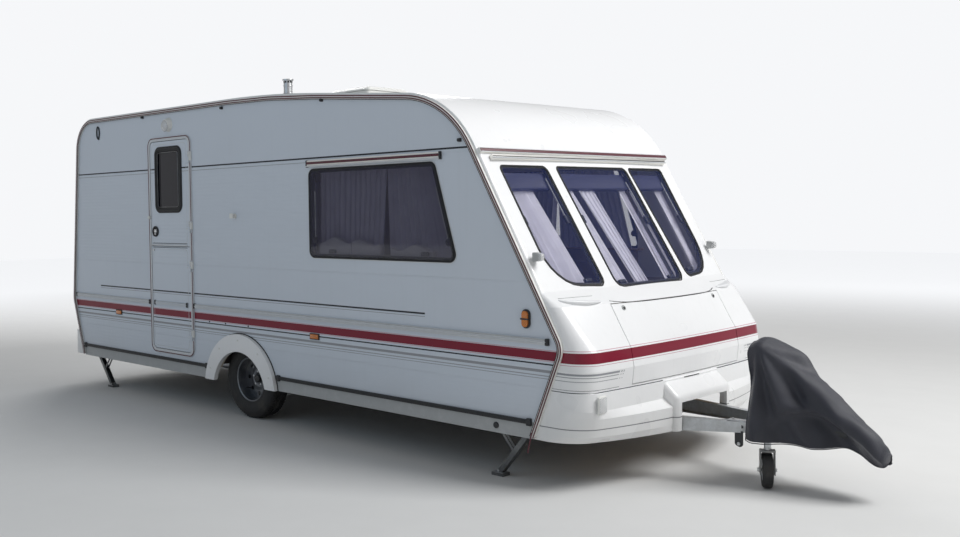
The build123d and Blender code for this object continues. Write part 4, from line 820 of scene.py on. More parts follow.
# along the awning rail: offset from its middle, half width, finish; the last, dark line on the rail's lower side is a
# painted shadow
RAIL_LINES = (
    (0.0078, 0.0048, "maroon"),
    (-0.0078, 0.0048, "maroon"),
    (0.0122, 0.0018, "white_plastic"),
    (-0.0142, 0.0018, "white_plastic"),
    (-0.0178, 0.0026, "rubber"),
)


def beside(line, offset):
    """The points of an open line moved sideways by an offset."""
    moved = []
    for k, (x, z) in enumerate(line):
        along = (Vector(line[min(len(line) - 1, k + 1)]) - Vector(line[max(0, k - 1)])).normalized()
        moved.append((x - along.y * offset, z + along.x * offset))
    return moved


for side, name in SIDES:
    y = side * (HALF_WIDTH + 0.0155)
    fit(rod("rail_bead_" + name, [(x, y, z) for x, z in FLANK_LINE], 0.0036, sides=1), "white_plastic")
    for number, (offset, width, shade) in enumerate(RAIL_LINES):
        line = [(x, y - side * 0.0008, z) for x, z in beside(FLANK_LINE, offset)]
        suffix = f".{number:03d}" if number else ""
        fit(rod(f"rail_line_{name}_54{suffix}", line, width, sides=1), shade)

# loose end of the bead, hanging out of the rail at the front foot
TAIL = (
    (2.012, -1.1055, 0.330),
    (2.004, -1.1075, 0.285),
    (1.996, -1.1095, 0.250),
    (1.988, -1.1090, 0.222),
    (1.984, -1.1060, 0.205),
)
fit(rod("rail_bead_tail", TAIL, 0.0048), "maroon")

# inserts and lips of the rails over the windows: x from, x to, flank
HEAD_RAILS = ((-0.008, 1.303, RIGHT), (-0.008, 1.303, LEFT), (-2.366, -1.384, LEFT))
for number, (x0, x1, side) in enumerate(HEAD_RAILS):
    insert = side_block(f"head_rail_insert_{number}", side, (x0 + 0.004, x1 - 0.004), (1.1075, 1.1105), (2.011, 2.029))
    fit(soften(insert, 0.001), "maroon")
    gutter = side_block(f"head_rail_gutter_{number}", side, (x0, x1), (1.1055, 1.1175), (1.9935, 2.0000))
    press(gutter, "+y" if side > 0 else "-y", (0.0015, (0, 0, 0.004)))
    fit(soften(gutter, 0.001), "trim")
    for end, x in (("back", x0), ("front", x1)):
        cap = side_block(f"head_rail_cap_{number}_{end}", side, (x - 0.006, x + 0.006), (1.088, 1.111), (1.990, 2.042))
        fit(soften(cap, 0.003, 3), "black")

# strips across the raked front: name, height, width, proud, thickness, half length, finish
FRONT_STRIPS = (
    ("brow_insert", 2.031, 0.020, 0.0105, 0.003, 1.086, "maroon"),
    ("brow_lip_upper", 2.043, 0.004, 0.0105, 0.003, 1.086, "trim"),
    ("brow_lip_lower", 2.019, 0.004, 0.0105, 0.003, 1.086, "trim"),
    ("front_gutter_lip", 1.977, 0.005, 0.0180, 0.007, 1.011, "trim"),
    # the black strip below is a painted shadow line in the gutter under the brow
    ("front_gutter_groove", 1.9865, 0.008, 0.0192, 0.0012, 1.009, "black"),
)
for name, z, width, proud, thick, half, shade in FRONT_STRIPS:
    strip = soften(block(name, (0, -half, -width / 2), (thick, half, width / 2)), min(width, thick) * 0.25)
    fit(move(turn(strip, -FRONT_TILT, "Y"), *on_front(z, proud)), shade)

# rub rails, with raised beads along them and dark caps at their ends: x from, x to, flank, body
RUB_RUNS = (
    (-3.550, -2.193, RIGHT, CHASSIS),
    (-1.509, 2.133, RIGHT, CHASSIS),
    (-2.123, -1.599, RIGHT, "lower_door"),
    (-3.550, 2.133, LEFT, CHASSIS),
)
# beads of the rub rail: height, radius, finish; the top grey bead is a painted shade line along the rail's upper edge
RUB_BEADS = ((0.8925, 0.0026, "grey"), (0.8800, 0.0044, "trim"), (0.8690, 0.0030, "trim"))
for number, (x0, x1, side, body) in enumerate(RUB_RUNS):
    for level, size, shade in RUB_BEADS:
        route = [(x0 + 0.012, side * 1.1058, level), (x1 - 0.012, side * 1.1058, level)]
        fit(rod(f"rub_bead_{number}_{round(level * 1000)}", route, size, sides=1), shade, body)
    # the caps stand past the rail's ends, but not on the door, where they stay inside its gap
    over = 0.0 if body == "lower_door" else 0.004
    for end, x_range in (("back", (x0 - over, x0 - over + 0.024)), ("front", (x1 + over - 0.024, x1 + over))):
        cap = side_block(f"rub_cap_{number}_{end}", side, x_range, (1.086, 1.1095), (0.859, 0.901))
        fit(soften(cap, 0.005, 3), "black", body)

# lower rails: a groove line along each and moulded brackets at the ends
for side, name in SIDES:
    for number, (x0, x1) in enumerate(((-3.401, -1.342), (-0.393, 1.988))):
        route = [(x0 + 0.02, side * 1.1035, 0.3945), (x1 - 0.02, side * 1.1035, 0.3945)]
        fit(rod(f"lower_bead_{name}_{number}", route, 0.0042, sides=1), "black")
        for end, x in (("back", x0), ("front", x1)):
            bracket = f"lower_bracket_{name}_{number}_{end}"
            bracket = side_block(bracket, side, (x - 0.018, x + 0.018), (1.088, 1.109), (0.366, 0.412))
            fit(soften(bracket, 0.006, 3), "black")

# ---------------------------------------------------------------- windows

# front panes as (y, z, corner radius)
FRONT_PANES = {
    "right": ((-0.487, 1.935, 0.040), (-0.953, 1.935, 0.030), (-0.938, 1.205, 0.230), (-0.492, 1.180, 0.045)),
    "centre": ((-0.378, 1.935, 0.030), (0.440, 1.935, 0.040), (0.430, 1.165, 0.060), (-0.378, 1.165, 0.060)),
    "left": ((0.487, 1.935, 0.025), (0.925, 1.935, 0.025), (0.910, 1.205, 0.230), (0.512, 1.180, 0.045)),
}
for name, corners in FRONT_PANES.items():
    outline = rounded(corners)
    fit(bead(f"front_seal_{name}", front_place, grown(outline, 0.003), 0.0005, 0.0056), "rubber")
    fit(bead(f"front_pane_edge_{name}", front_place, grown(outline, -0.006), 0.0012, 0.0018), "black")

# catches and stays behind the front panes: y, z, kind
FRONT_FITTINGS = (
    (-0.925, 1.600, "stay"),
    (-0.515, 1.600, "stay"),
    (-0.600, 1.225, "catch"),
    (-0.345, 1.600, "stay"),
    (0.405, 1.580, "stay"),
    (-0.270, 1.200, "catch"),
    (0.330, 1.200, "catch"),
    (0.515, 1.600, "stay"),
    (0.895, 1.580, "stay"),
    (0.640, 1.235, "catch"),
)
for number, (y, z, kind) in enumerate(FRONT_FITTINGS):
    if kind == "catch":
        piece = block(f"front_catch_{number}", (-0.012, -0.036, -0.014), (0.006, 0.036, 0.014))
        soften(press(piece, "+x", (0.006, (0.004, 0, 0))), 0.003)
        spot = front_place(y, z, -0.022)
    else:
        piece = block(f"front_stay_base_{number}", (-0.010, -0.014, -0.030), (0.010, 0.014, 0.030))
        soften(piece, 0.004)
        spot = front_place(y, z, -0.020)
    fit(move(turn(piece, -FRONT_TILT, "Y"), *spot), "black")
    if kind == "stay":
        route = [front_place(y, z + 0.01, -0.020), front_place(y, z + 0.27, -0.022)]
        fit(rod(f"front_stay_arm_{number}", route, 0.0042), "grey")

# flank windows: x from, x to, rake of the front edge, flank
FLANK_WINDOWS = ((0.009, 1.429, 0.187, RIGHT), (0.009, 1.429, 0.187, LEFT), (-2.350, -1.400, 0.0, LEFT))
SILL, HEAD = 1.335, 1.971
for number, (x0, x1, rake, side) in enumerate(FLANK_WINDOWS):
    outline = rounded(((x0, SILL, 0.045), (x1, SILL, 0.045), (x1 - rake, HEAD, 0.045), (x0, HEAD, 0.045)))
    place = flank_place(side)
    fit(bead(f"flank_seal_{number}", place, grown(outline, 0.002), 0.0055, 0.0060), "rubber")
    fit(smooth(ring(f"flank_lip_{number}", grown(outline, 0.009), grown(outline, 0.001), place, 0.0042)), "rubber")
    fit(smooth(ring(f"flank_flange_{number}", grown(outline, 0.016), grown(outline, 0.002), place, 0.003)), "trim")
    fit(bead(f"flank_pane_edge_{number}", place, grown(outline, -0.006), 0.0108, 0.0018), "black")
    for end, x_low, lean in (("back", x0 + 0.050, 0.0), ("front", x1 - 0.075, rake * 0.55)):
        route = [place(x_low, SILL + 0.13, -0.006), place(x_low - lean, SILL + 0.48, -0.006)]
        fit(rod(f"flank_stay_{number}_{end}", route, 0.0055), "bright")
        base = place(x_low, SILL + 0.12, -0.014)
        fit(disc(f"flank_stay_base_{number}_{end}", base, (0, side, 0), 0.024, 0.016, 0.004), "black")
    for share in (0.16, 0.80):
        x = x0 + (x1 - x0) * share
        catch = f"flank_catch_{number}_{round(share * 100)}"
        catch = side_block(catch, side, (x - 0.030, x + 0.030), (1.070, 1.091), (SILL + 0.028, SILL + 0.050))
        fit(soften(press(catch, "+z", (0.005, (0, 0, 0.006))), 0.003), "black")

# rear window, on the leaning rear face
outline = oblong(-0.680, -0.280, 0.680, 0.280, 0.045)
fit(bead("rear_seal", rear_place, grown(outline, 0.002), 0.0055, 0.0060), "rubber")
fit(bead("rear_pane_edge", rear_place, grown(outline, -0.006), 0.0108, 0.0018), "black")
fit(smooth(ring("rear_flange", grown(outline, 0.016), grown(outline, 0.002), rear_place, 0.003)), "trim")
for number, y in enumerate((-0.45, 0.45)):
    catch = soften(block(f"rear_catch_{number}", (-0.012, y - 0.030, -0.011), (0.008, y + 0.030, 0.011)), 0.003)
    fit(move(catch, *rear_place(0, -0.240, -0.020)), "black")

# ---------------------------------------------------------------- curtains


def curtain(name, foot, head, levels, place, folds, deep, finish_name, seed):
    """A gathered curtain. foot and head are (from, to) across, at the two levels;
    place(across, up, out) gives a point on the plane it hangs in."""
    columns, rows = folds * 10, 14
    piece = begin(name, "grid", x_subdivisions=columns, y_subdivisions=rows, size=1.0)
    for point in piece.data.vertices:
        s, t = point.co.x + 0.5, point.co.y + 0.5
        flare = 1.0 + 0.25 * (1.0 - t)
        wander = 0.10 * math.sin(7.0 * s + seed) + 0.05 * math.sin(17.0 * s + 2.0 * seed + 3.0 * t)
        phase = 2 * math.pi * (s * folds + wander)
        fold = math.sin(phase) + 0.25 * math.sin(2.0 * phase + seed)
        out = deep * flare * fold * (0.75 + 0.25 * math.sin(5 * s + seed))
        across_low = foot[0] + (foot[1] - foot[0]) * s
        across_high = head[0] + (head[1] - head[0]) * s
        at = across_low + (across_high - across_low) * t + deep * 0.35 * math.sin(2 * phase)
        point.co = place(at, levels[0] + (levels[1] - levels[0]) * t + 0.004 * math.sin(phase), out)
    smooth(piece, 80)
    places = [point.co for point in piece.data.vertices]
    middle_row = places[(columns + 1) * (rows // 2):(columns + 1) * (rows // 2 + 1)]
    side_line = places[:(columns + 1) * rows + 1:columns + 1]
    wide, long = (sum((b - a).length for a, b in zip(run, run[1:])) for run in (middle_row, side_line))
    fit(piece, finish_name)


# name, foot from and to, head from and to, folds
FRONT_CURTAINS = (
    ("right", (-0.930, -0.545), (-0.955, -0.665), 7),
    ("centre_right", (-0.372, -0.150), (-0.378, -0.240), 4),
    ("centre", (-0.050, 0.120), (-0.165, 0.030), 4),
    ("centre_left", (0.345, 0.425), (0.365, 0.436), 2),
    ("left", (0.515, 0.620), (0.495, 0.570), 3),
    ("far_left", (0.800, 0.905), (0.830, 0.925), 2),
)
for number, (name, foot, head, folds) in enumerate(FRONT_CURTAINS):
    levels, seed = (1.180, 1.925), 1.3 * number
    curtain("front_curtain_" + name, foot, head, levels, behind_front, folds, 0.014, "net", seed)

# the flank and rear curtains take the darker net, which is painted shade
for number, (x0, x1, rake, side) in enumerate(FLANK_WINDOWS):
    middle = (x0 + x1) / 2
    # end, foot, head, seed
    pair = (
        ("back", (x0 + 0.01, middle - 0.055), (x0 + 0.01, middle - 0.005), 0.7),
        ("front", (middle + 0.020, x1 - 0.02), (middle + 0.002, x1 - rake), 2.9),
    )
    for end, foot, head, seed in pair:
        name, levels = f"flank_curtain_{number}_{end}", (SILL + 0.01, HEAD - 0.01)
        curtain(name, foot, head, levels, flank_place(side, 0.985), 13, 0.019, "net_in_painted_shade", seed + number)

REAR_PAIR = (
    # name, foot, head, seed
    ("right", (-0.66, -0.02), (-0.66, 0.0), 1.1),
    ("left", (0.02, 0.66), (0.005, 0.66), 4.1),
)
for name, foot, head, seed in REAR_PAIR:
    name = "rear_curtain_" + name
    curtain(name, foot, head, (-0.27, 0.27), behind_rear, 11, 0.016, "net_in_painted_shade", seed)

# dark roller blind box behind the head of each front pane; its deep blue is a painted sky reflection across the panes'
# upper part
for name, y0, y1 in (("right", -0.955, -0.480), ("centre", -0.385, 0.445), ("left", 0.480, 0.930)):
    blind_box_painted_sky = press(block(f"blind_box_painted_sky_{name}", (-0.045, y0, -0.085), (0.0, y1, 0.035)), "+x", (0.010, (-0.004, 0, 0)))
    soften(blind_box_painted_sky, 0.010, 3)
    fit(move(turn(blind_box_painted_sky, -FRONT_TILT, "Y"), *on_front(1.885, -0.036)), "blind_box_painted_sky")

# ---------------------------------------------------------------- entrance door

DOOR_FACE = -1.098
FRAME_LINE_Y = -1.1010
UPPER, LOWER = "upper_door", "lower_door"
outline = oblong(-2.062, 1.684, -1.664, 2.238, 0.060)
door_plane = flank_place(RIGHT, -DOOR_FACE)
surround = ring("door_window_surround", grown(outline, 0.012), grown(outline, -0.030), door_plane, 0.007)
modify(surround, "BEVEL", width=0.003, segments=2)
fit(smooth(surround), "rubber", UPPER)
fit(bead("door_window_bead", door_plane, grown(outline, -0.040), 0.0072, 0.0030), "zinc_in_painted_shade", UPPER)
fit(bead("door_window_lip", door_plane, grown(outline, -0.006), 0.0075, 0.0040), "black", UPPER)

# blind behind the door pane, with its pleats
PLEATS = 44
BLIND_WIDTH, BLIND_DROP, PLEAT_DEPTH = 0.400, 0.540, 0.012
blind = begin("door_window_blind", "grid", x_subdivisions=4, y_subdivisions=PLEATS, size=1.0)
for point in blind.data.vertices:
    t = point.co.y + 0.5
    pleat = PLEAT_DEPTH / 2 * (1 if round(t * PLEATS) % 2 else -1)
    point.co = (-1.863 + point.co.x * BLIND_WIDTH, -1.066 + pleat, 1.690 + BLIND_DROP * t)
fit(smooth(blind, 20), "blind", UPPER)

# pressed panel lines of the two leaves
for name, body, low, high in (("upper", UPPER, 1.405, 2.270), ("lower", LOWER, 0.500, 1.355)):
    outline = oblong(-2.128, low, -1.590, high, 0.040)
    fit(bead(f"door_leaf_bead_{name}", door_plane, outline, -0.0006, 0.0022), "trim", body)

# rubber seal in the gap round the opening, and the split bar between the leaves
fit(bead("door_seal", door_plane, oblong(-2.150, 0.475, -1.552, 2.298, 0.052), -0.012, 0.0032), "rubber")
drip = block("door_split_bar", (-2.144, -1.1035, 1.3845), (-1.590, -1.0960, 1.3990))
fit(soften(press(drip, "-y", (0.003, (0, -0.002, -0.002))), 0.002), "trim", UPPER)

# painted line along the frame, 4 mm proud of it: open on the hinge side, where it stops short of each hinge
line = grown(oblong(-2.172, 0.452, -1.529, 2.320, 0.062), 0.006)
half = len(line) // 2
run = line[half:] + line[:half]
routes = [[(x, FRAME_LINE_Y, z) for x, z in run]]
for levels in ((0.514, 0.579), (0.679, 1.169), (1.267, 1.501), (1.599, 2.094), (2.192, 2.258)):
    routes.append([(run[0][0], FRAME_LINE_Y, z) for z in levels])
lines = [rod(f"door_frame_line_{number}", route, 0.0046, sides=1) for number, route in enumerate(routes)]
fit(join("door_frame_line", lines), "maroon")
for number, (z, body) in enumerate(((1.370, LOWER), (1.407, UPPER))):
    route = [(x, DOOR_FACE - 0.0004, z) for x in (-2.128, -1.590)]
    fit(rod(f"door_split_line_{number}", route, 0.0024, sides=1), "black", body)

# lock: dished round plate, pull handle and key cylinder
lock_plate = disc("door_lock_plate", (-2.080, DOOR_FACE, 1.510), TO_RIGHT, 0.047, 0.012, 0.004, 32)
edit(
    lock_plate,
    lambda c, n: n.y < -0.9 and abs(c.x + 2.080) < 0.02,
    ("mesh.inset", {"thickness": 0.008}),
    ("mesh.inset", {"thickness": 0.004}),
    ("transform.translate", {"value": (0, 0.008, 0)}),
)
fit(smooth(lock_plate), "black", UPPER)
pull = block("door_lock_pull", (-2.098, -1.108, 1.500), (-2.058, -1.100, 1.530))
fit(soften(press(pull, "+x", (0, (0.006, -0.006, 0))), 0.003, 3), "bright", UPPER)
fit(disc("door_lock_key", (-2.080, -1.1005, 1.488), TO_RIGHT, 0.010, 0.008, 0.002, 20), "bright", UPPER)
fit(disc("door_lower_catch", (-2.118, DOOR_FACE, 1.345), TO_RIGHT, 0.011, 0.008, 0.002, 20), "bright", LOWER)

# catch knob on the frame's edge, and the retainer on the wall that holds the open door
fit(disc("door_catch_knob", (-2.166, -1.1015, 1.634), TO_RIGHT, 0.014, 0.020, 0.005), "white_plastic")
for number, (z, long) in enumerate(((2.150, 0.075), (1.560, 0.060), (1.225, 0.060), (0.640, 0.060))):
    hinge_cover = block(f"hinge_cover_{number}", (-1.527, -1.1135, z - long / 2), (-1.512, -1.0905, z + long / 2))
    fit(soften(hinge_cover, 0.004, 3), "white_plastic")
base = disc("door_retainer_base", (-0.917, -1.0895, 1.639), TO_RIGHT, 0.020, 0.009, 0.003)
stem = disc("door_retainer_stem", (-0.917, -1.097, 1.639), TO_RIGHT, 0.008, 0.028, 0.002, 16)
grip = block("door_retainer_grip", (-0.938, -1.134, 1.620), (-0.896, -1.118, 1.660))
soften(press(grip, "-y", (0.008, (0, 0.005, 0))), 0.004, 3)
fit(join("door_retainer", [base, stem, grip]), "white_plastic")

# caps over the hinge knuckles, and screws in their straps
HINGE = (-1.535, -1.111)
for z, body in ((2.143, UPPER), (1.550, UPPER), (1.218, LOWER), (0.629, LOWER)):
    tag = round(z * 1000)
    for name, way, rides_on in (("foot", -1, body), ("head", 1, CHASSIS)):
        spot = (*HINGE, z + way * 0.0292)
        fit(disc(f"hinge_{name}_{tag}", spot, (0, 0, way), 0.0085, 0.004, 0.002, 20), "white_plastic", rides_on)
    for k, x in enumerate((-1.580, -1.562)):
        spot = (x, -1.1099, z - 0.015)
        fit(disc(f"hinge_screw_{tag}_{k}", spot, TO_RIGHT, 0.0045, 0.0022, 0.0008, 12), "bright", body)

# inner grab handle of the door
route = [(-2.06, -1.062, 1.600), (-2.06, -1.030, 1.590), (-2.06, -1.030, 1.470), (-2.06, -1.062, 1.460)]
fit(rod("door_inner_handle", route, 0.007), "trim", UPPER)

# ---------------------------------------------------------------- lamps and reflectors

# amber side lamps: an oval dark base, a ribbed lens with its bar, and two reflectors on each flank
LAMP_X, LAMP_Z = 1.972, 1.008
REFLECTORS = (("back", -2.756, 0.750), ("front", 0.038, 0.745))
lamp_pieces = []
for side, name in SIDES:
    oval = oblong(LAMP_X - 0.031, LAMP_Z - 0.058, LAMP_X + 0.031, LAMP_Z + 0.058, 0.030, 20)
    base = plate(f"side_lamp_base_{name}", oval, min(side * 1.090, side * 1.102), 0.012)
    fit(soften(base, 0.004), "black")
    glass = plate(f"side_lamp_lens_{name}", grown(oval, -0.009), min(side * 1.100, side * 1.116), 0.016)
    modify(glass, "BEVEL", width=0.006, segments=3, limit_method="ANGLE")
    lamp_pieces.append(smooth(glass, 60))
    x_range, z_range = (LAMP_X - 0.029, LAMP_X + 0.029), (LAMP_Z - 0.005, LAMP_Z + 0.005)
    bar = side_block(f"side_lamp_bar_{name}", side, x_range, (1.112, 1.1175), z_range)
    fit(soften(bar, 0.001), "black")
    for end, x, z in REFLECTORS:
        tag, x_range, z_range = f"{name}_{end}", (x - 0.052, x + 0.052), (z - 0.023, z + 0.023)
        surround = side_block("reflector_frame_" + tag, side, x_range, (1.090, 1.0985), z_range)
        press(surround, "+y" if side > 0 else "-y", (0.005, (0, -side * 0.002, 0)))
        fit(soften(surround, 0.002), "black")
        x_range, z_range = (x - 0.044, x + 0.044), (z - 0.0165, z + 0.0165)
        glass = side_block("reflector_lens_" + tag, side, x_range, (1.0945, 1.1015), z_range)
        lamp_pieces.append(soften(glass, 0.002))
amber = fit(join("side_lamp_lenses", lamp_pieces), "amber")
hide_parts("side_lamps")

# front marker lamps: white lens in a dark moulded foot
feet = []
for side, name in SIDES:
    y, z = side * 1.034, 1.376
    foot = block(f"front_marker_foot_{name}", (-0.030, -0.026, -0.029), (0.012, 0.026, 0.029))
    feet.append(move(soften(press(foot, "+x", scale=(1, 0.84, 0.84)), 0.005, 3), 2.022, y, z))
    glass = block(f"front_marker_lens_{name}", (-0.006, -0.0205, -0.0235), (0.014, 0.0205, 0.0235))
    fit(move(soften(press(glass, "+x", scale=(1, 0.80, 0.80)), 0.004, 3), 2.038, y, z), "reflector")
    fit(disc(f"front_marker_bulb_{name}", (2.0515, y, z), (1, 0, 0), 0.009, 0.002, 0.0008, 16), "bright")
marker = fit(join("front_marker_feet", feet), "grey")
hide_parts("front_lamps")

# awning lamp over the door
lamp_lens = begin("awning_lamp_lens", "uv_sphere", segments=28, ring_count=12, radius=0.052, location=(0, 0, 0))
cut = {"plane_co": (0, 0, 0.006), "plane_no": (0, 0, 1), "clear_inner": True, "use_fill": True}
edit(lamp_lens, ALL, ("mesh.bisect", cut))
lamp_lens.data.transform(Matrix.Scale(0.55, 4, (0, 0, 1)))
fit(smooth(move(turn(lamp_lens, 90, "X"), -1.862, -1.120, 2.426), 60), "reflector")

# rear lamp clusters of four lenses: y inner, y outer, finish
REAR_LENSES = ((0.668, 0.742, "clear"), (0.746, 0.826, "red"), (0.830, 0.910, "red"), (0.914, 0.992, "amber"))
for side, name in SIDES:
    for number, (inner, outer, shade) in enumerate(REAR_LENSES):
        glass = f"rear_lens_{name}_{number}"
        glass = side_block(glass, side, (-3.6330, -3.6195), (inner, outer), (0.407, 0.483))
        fit(soften(press(glass, "-x", (0.004, (-0.004, 0, 0))), 0.002), shade)
    high = block(f"rear_marker_{name}", (-0.016, -0.060, -0.020), (0.006, 0.060, 0.020))
    soften(press(high, "-x", (0.008, (-0.006, 0, 0))), 0.004, 3)
    fit(move(high, *rear_place(side * 0.960, 0.720, 0.004)), "red")
    corner = block(f"rear_corner_lamp_{name}", (-0.045, -0.030, -0.022), (0.045, 0.030, 0.022))
    soften(press(corner, "-x", scale=(1, 0.75, 0.7)), 0.010, 3)
    fit(move(turn(corner, 40, "Y"), -3.392, side * 1.010, 2.474), "white_plastic")

# blank number plate in its frame
plate_frame = block("plate_frame", (-3.6260, -0.265, 0.392), (-3.6180, 0.265, 0.512))
fit(soften(press(plate_frame, "-x", (0.005, (0.003, 0, 0))), 0.002), "black")
blank = block("plate_blank", (-3.6268, -0.258, 0.398), (-3.6225, 0.258, 0.506))
fit(soften(press(blank, "-x", (0.004, (-0.0006, 0, 0))), 0.001), "trim")

# ---------------------------------------------------------------- small fittings on the flanks

# clips along the awning rail
for number, (x, z) in enumerate(((-2.266, 2.530), (-1.065, 2.515), (0.159, 2.470), (1.465, 2.104))):
    clip = block(f"rail_clip_{number}", (x - 0.014, -1.112, z - 0.013), (x + 0.014, -1.089, z + 0.013))
    fit(soften(press(clip, "-y", scale=(0.7, 1, 0.7)), 0.003), "black")

# moulded handle ring near the rear top corner, and a cap low on the front quarter
ring_line = arc(-3.066, 2.444, 0.024, 0.057, range(-285, 75, 15), -1.0965)
fit(rod("corner_ring", ring_line, 0.0062), "black")
fit(disc("corner_ring_foot", (-3.062, -1.0895, 2.388), TO_RIGHT, 0.012, 0.008, 0.002, 20), "black")
fit(disc("flank_cap", (1.733, -1.0895, 0.334), TO_RIGHT, 0.020, 0.008, 0.003, 24), "black")

# pressed rivets at the joints of the black line
for number, x in enumerate((-1.300, -1.075, -0.770)):
    for side, name in SIDES:
        rivet = disc(f"stripe_rivet_{number}_{name}", (x, side * 1.0897, 0.762), (0, side, 0), 0.0075, 0.003, 0.001, 12)
        fit(rivet, "black")

# rubber, lip and screws of the wheel spats
SPAT_X, SPAT_Z = -0.868, 0.228
for side, name in SIDES:
    rubber = arc(SPAT_X, SPAT_Z, 0.467, 0.467, range(6, 175, 6), side * 1.0925)
    fit(rod(f"spat_rubber_{name}", rubber, 0.0045, sides=1), "rubber")
    lip = arc(SPAT_X, 0.206, 0.3545, 0.3545, range(14, 167, 6), side * 1.1235)
    fit(rod(f"spat_lip_{name}", lip, 0.0040, sides=1), "plain_gelcoat")
    for number, spot in enumerate(arc(SPAT_X, SPAT_Z, 0.415, 0.415, (22, 52, 90, 128, 158), side * 1.1255)):
        screw = disc(f"spat_screw_{name}_{number}", spot, (0, side, 0), 0.0075, 0.0045, 0.002, 16)
        fit(screw, "white_plastic")

# ---------------------------------------------------------------- left flank, out of sight in the picture

SLAT_PITCH = 0.026
for number, z in enumerate((0.600, 1.150)):
    panel = block(f"fridge_louvre_frame_{number}", (-0.288, 1.0995, z - 0.108), (0.168, 1.1050, z + 0.108))
    louvre = [soften(press(panel, "+y", (0.018, (0, -0.0035, 0))), 0.003)]
    for row in range(7):
        level = z - 0.078 + row * SLAT_PITCH
        slat = block(f"slat_{number}_{row}", (-0.266, 1.1000, level - 0.006), (0.146, 1.1075, level + 0.006))
        louvre.append(soften(press(slat, "-z", (0, (0, 0.003, -0.003))), 0.0015))
    fit(join(f"fridge_louvre_{number}", louvre), "trim")

hatch_line = grown(oblong(-2.637, 0.503, -2.303, 0.837, 0.012), 0.005)
fit(bead("cassette_seal", flank_place(LEFT), hatch_line, 0.0015, 0.0035), "trim")
for number, z in enumerate((0.560, 0.780)):
    button = disc(f"cassette_lock_{number}", (-2.330, 1.0925, z), TO_LEFT, 0.016, 0.010, 0.003, 24)
    fit(button, "black", "cassette_hatch")
for number, z in enumerate((0.580, 0.760)):
    route = [(-2.641, 1.1005, z - 0.025), (-2.641, 1.1005, z + 0.025)]
    fit(rod(f"cassette_hinge_{number}", route, 0.0050), "bright")

# lids over the water inlet, the mains inlet and the battery: x, z, width, height
SERVICE_POINTS = (
    ("water_inlet", -1.900, 0.620, 0.130, 0.130),
    ("mains_inlet", -3.050, 0.640, 0.150, 0.140),
    ("battery_hatch", 0.620, 0.600, 0.330, 0.230),
)
for name, x, z, wide, tall in SERVICE_POINTS:
    lid = block(name, (x - wide / 2, 1.089, z - tall / 2), (x + wide / 2, 1.103, z + tall / 2))
    press(lid, "+y", (0.012, (0, -0.003, 0)), (0.006, (0, 0.003, 0)))
    latch = disc(name + "_latch", (x, 1.100, z - tall * 0.30), TO_LEFT, 0.012, 0.008, 0.002, 20)
    fit(join(name, [soften(lid, 0.004, 3), latch]), "white_plastic")
outlet = disc("heater_outlet", (1.250, 1.089, 0.560), TO_LEFT, 0.058, 0.024, 0.004, 32)
fit(smooth(press(outlet, "+y", (0.012, (0, -0.016, 0)))), "bright")

# ---------------------------------------------------------------- roof

# flue: flashing collar, ringed chimney with slots under a flat cap
FLUE = (-0.487, -0.870)
collar = begin(
    "flue_collar",
    "cone",
    vertices=40,
    radius1=0.074,
    radius2=0.044,
    depth=0.022,
    location=(0, 0, 0),
    end_fill_type="NGON",
)
fit(soften(move(collar, *FLUE, 2.578), 0.004), "rubber")
FLUE_RINGS = (
    # height, radius, thickness, rim
    (2.590, 0.038, 0.007, 0.0015),
    (2.604, 0.036, 0.006, 0.0015),
    (2.618, 0.036, 0.006, 0.0015),
    (2.632, 0.036, 0.006, 0.0015),
    (2.646, 0.039, 0.009, 0.0015),
    (2.664, 0.036, 0.005, 0.0015),
    (2.696, 0.0445, 0.006, 0.002),
)
rings = [disc(f"flue_ring_{k}", (*FLUE, z), UP, *sizes, 40) for k, (z, *sizes) in enumerate(FLUE_RINGS)]
fit(join("flue_rings", rings), "bright")
slots = []
for number in range(10):
    slot = block(f"flue_slot_{number}", (0.0315, -0.006, 2.672), (0.0350, 0.006, 2.688))
    slots.append(move(turn(slot, 36 * number, "Z"), *FLUE, 0))
fit(soften(join("flue_slots", slots), 0.0008, 1), "black")

# rooflight: raised panel, ribs and rolled lip of the lid, sealant round the frame
LIGHT_X, LIGHT_Y = -0.015, -0.450


def about_light(half, corner):
    return oblong(LIGHT_X - half, LIGHT_Y - half, LIGHT_X + half, LIGHT_Y + half, corner)


crown = block("rooflight_crown", (LIGHT_X - 0.15, LIGHT_Y - 0.15, 2.594), (LIGHT_X + 0.15, LIGHT_Y + 0.15, 2.612))
press(crown, "+z", (0.012, (0, 0, -0.002)), scale=(0.72, 0.72, 1))
fit(soften(crown, 0.004), "white_plastic", "rooflight")
for number in range(4):
    rib = block(f"rooflight_rib_{number}", (-0.007, -0.196, 2.5990), (0.007, -0.112, 2.6050))
    soften(press(rib, "+z", scale=(0.5, 0.9, 1)), 0.002)
    fit(move(turn(rib, 90 * number + 45, "Z"), LIGHT_X, LIGHT_Y, 0), "white_plastic", "rooflight")
lip = [(x, y, 2.5735) for x, y in about_light(0.2165, 0.035)]
fit(rod("rooflight_lip", lip, 0.0045, True, 1), "white_plastic", "rooflight")
seal = [(x, y, roof_z(x) + 0.002) for x, y in about_light(0.221, 0.030)]
fit(rod("rooflight_seal", seal, 0.0050, True, 1), "grey")

# ---------------------------------------------------------------- wheels and tyres

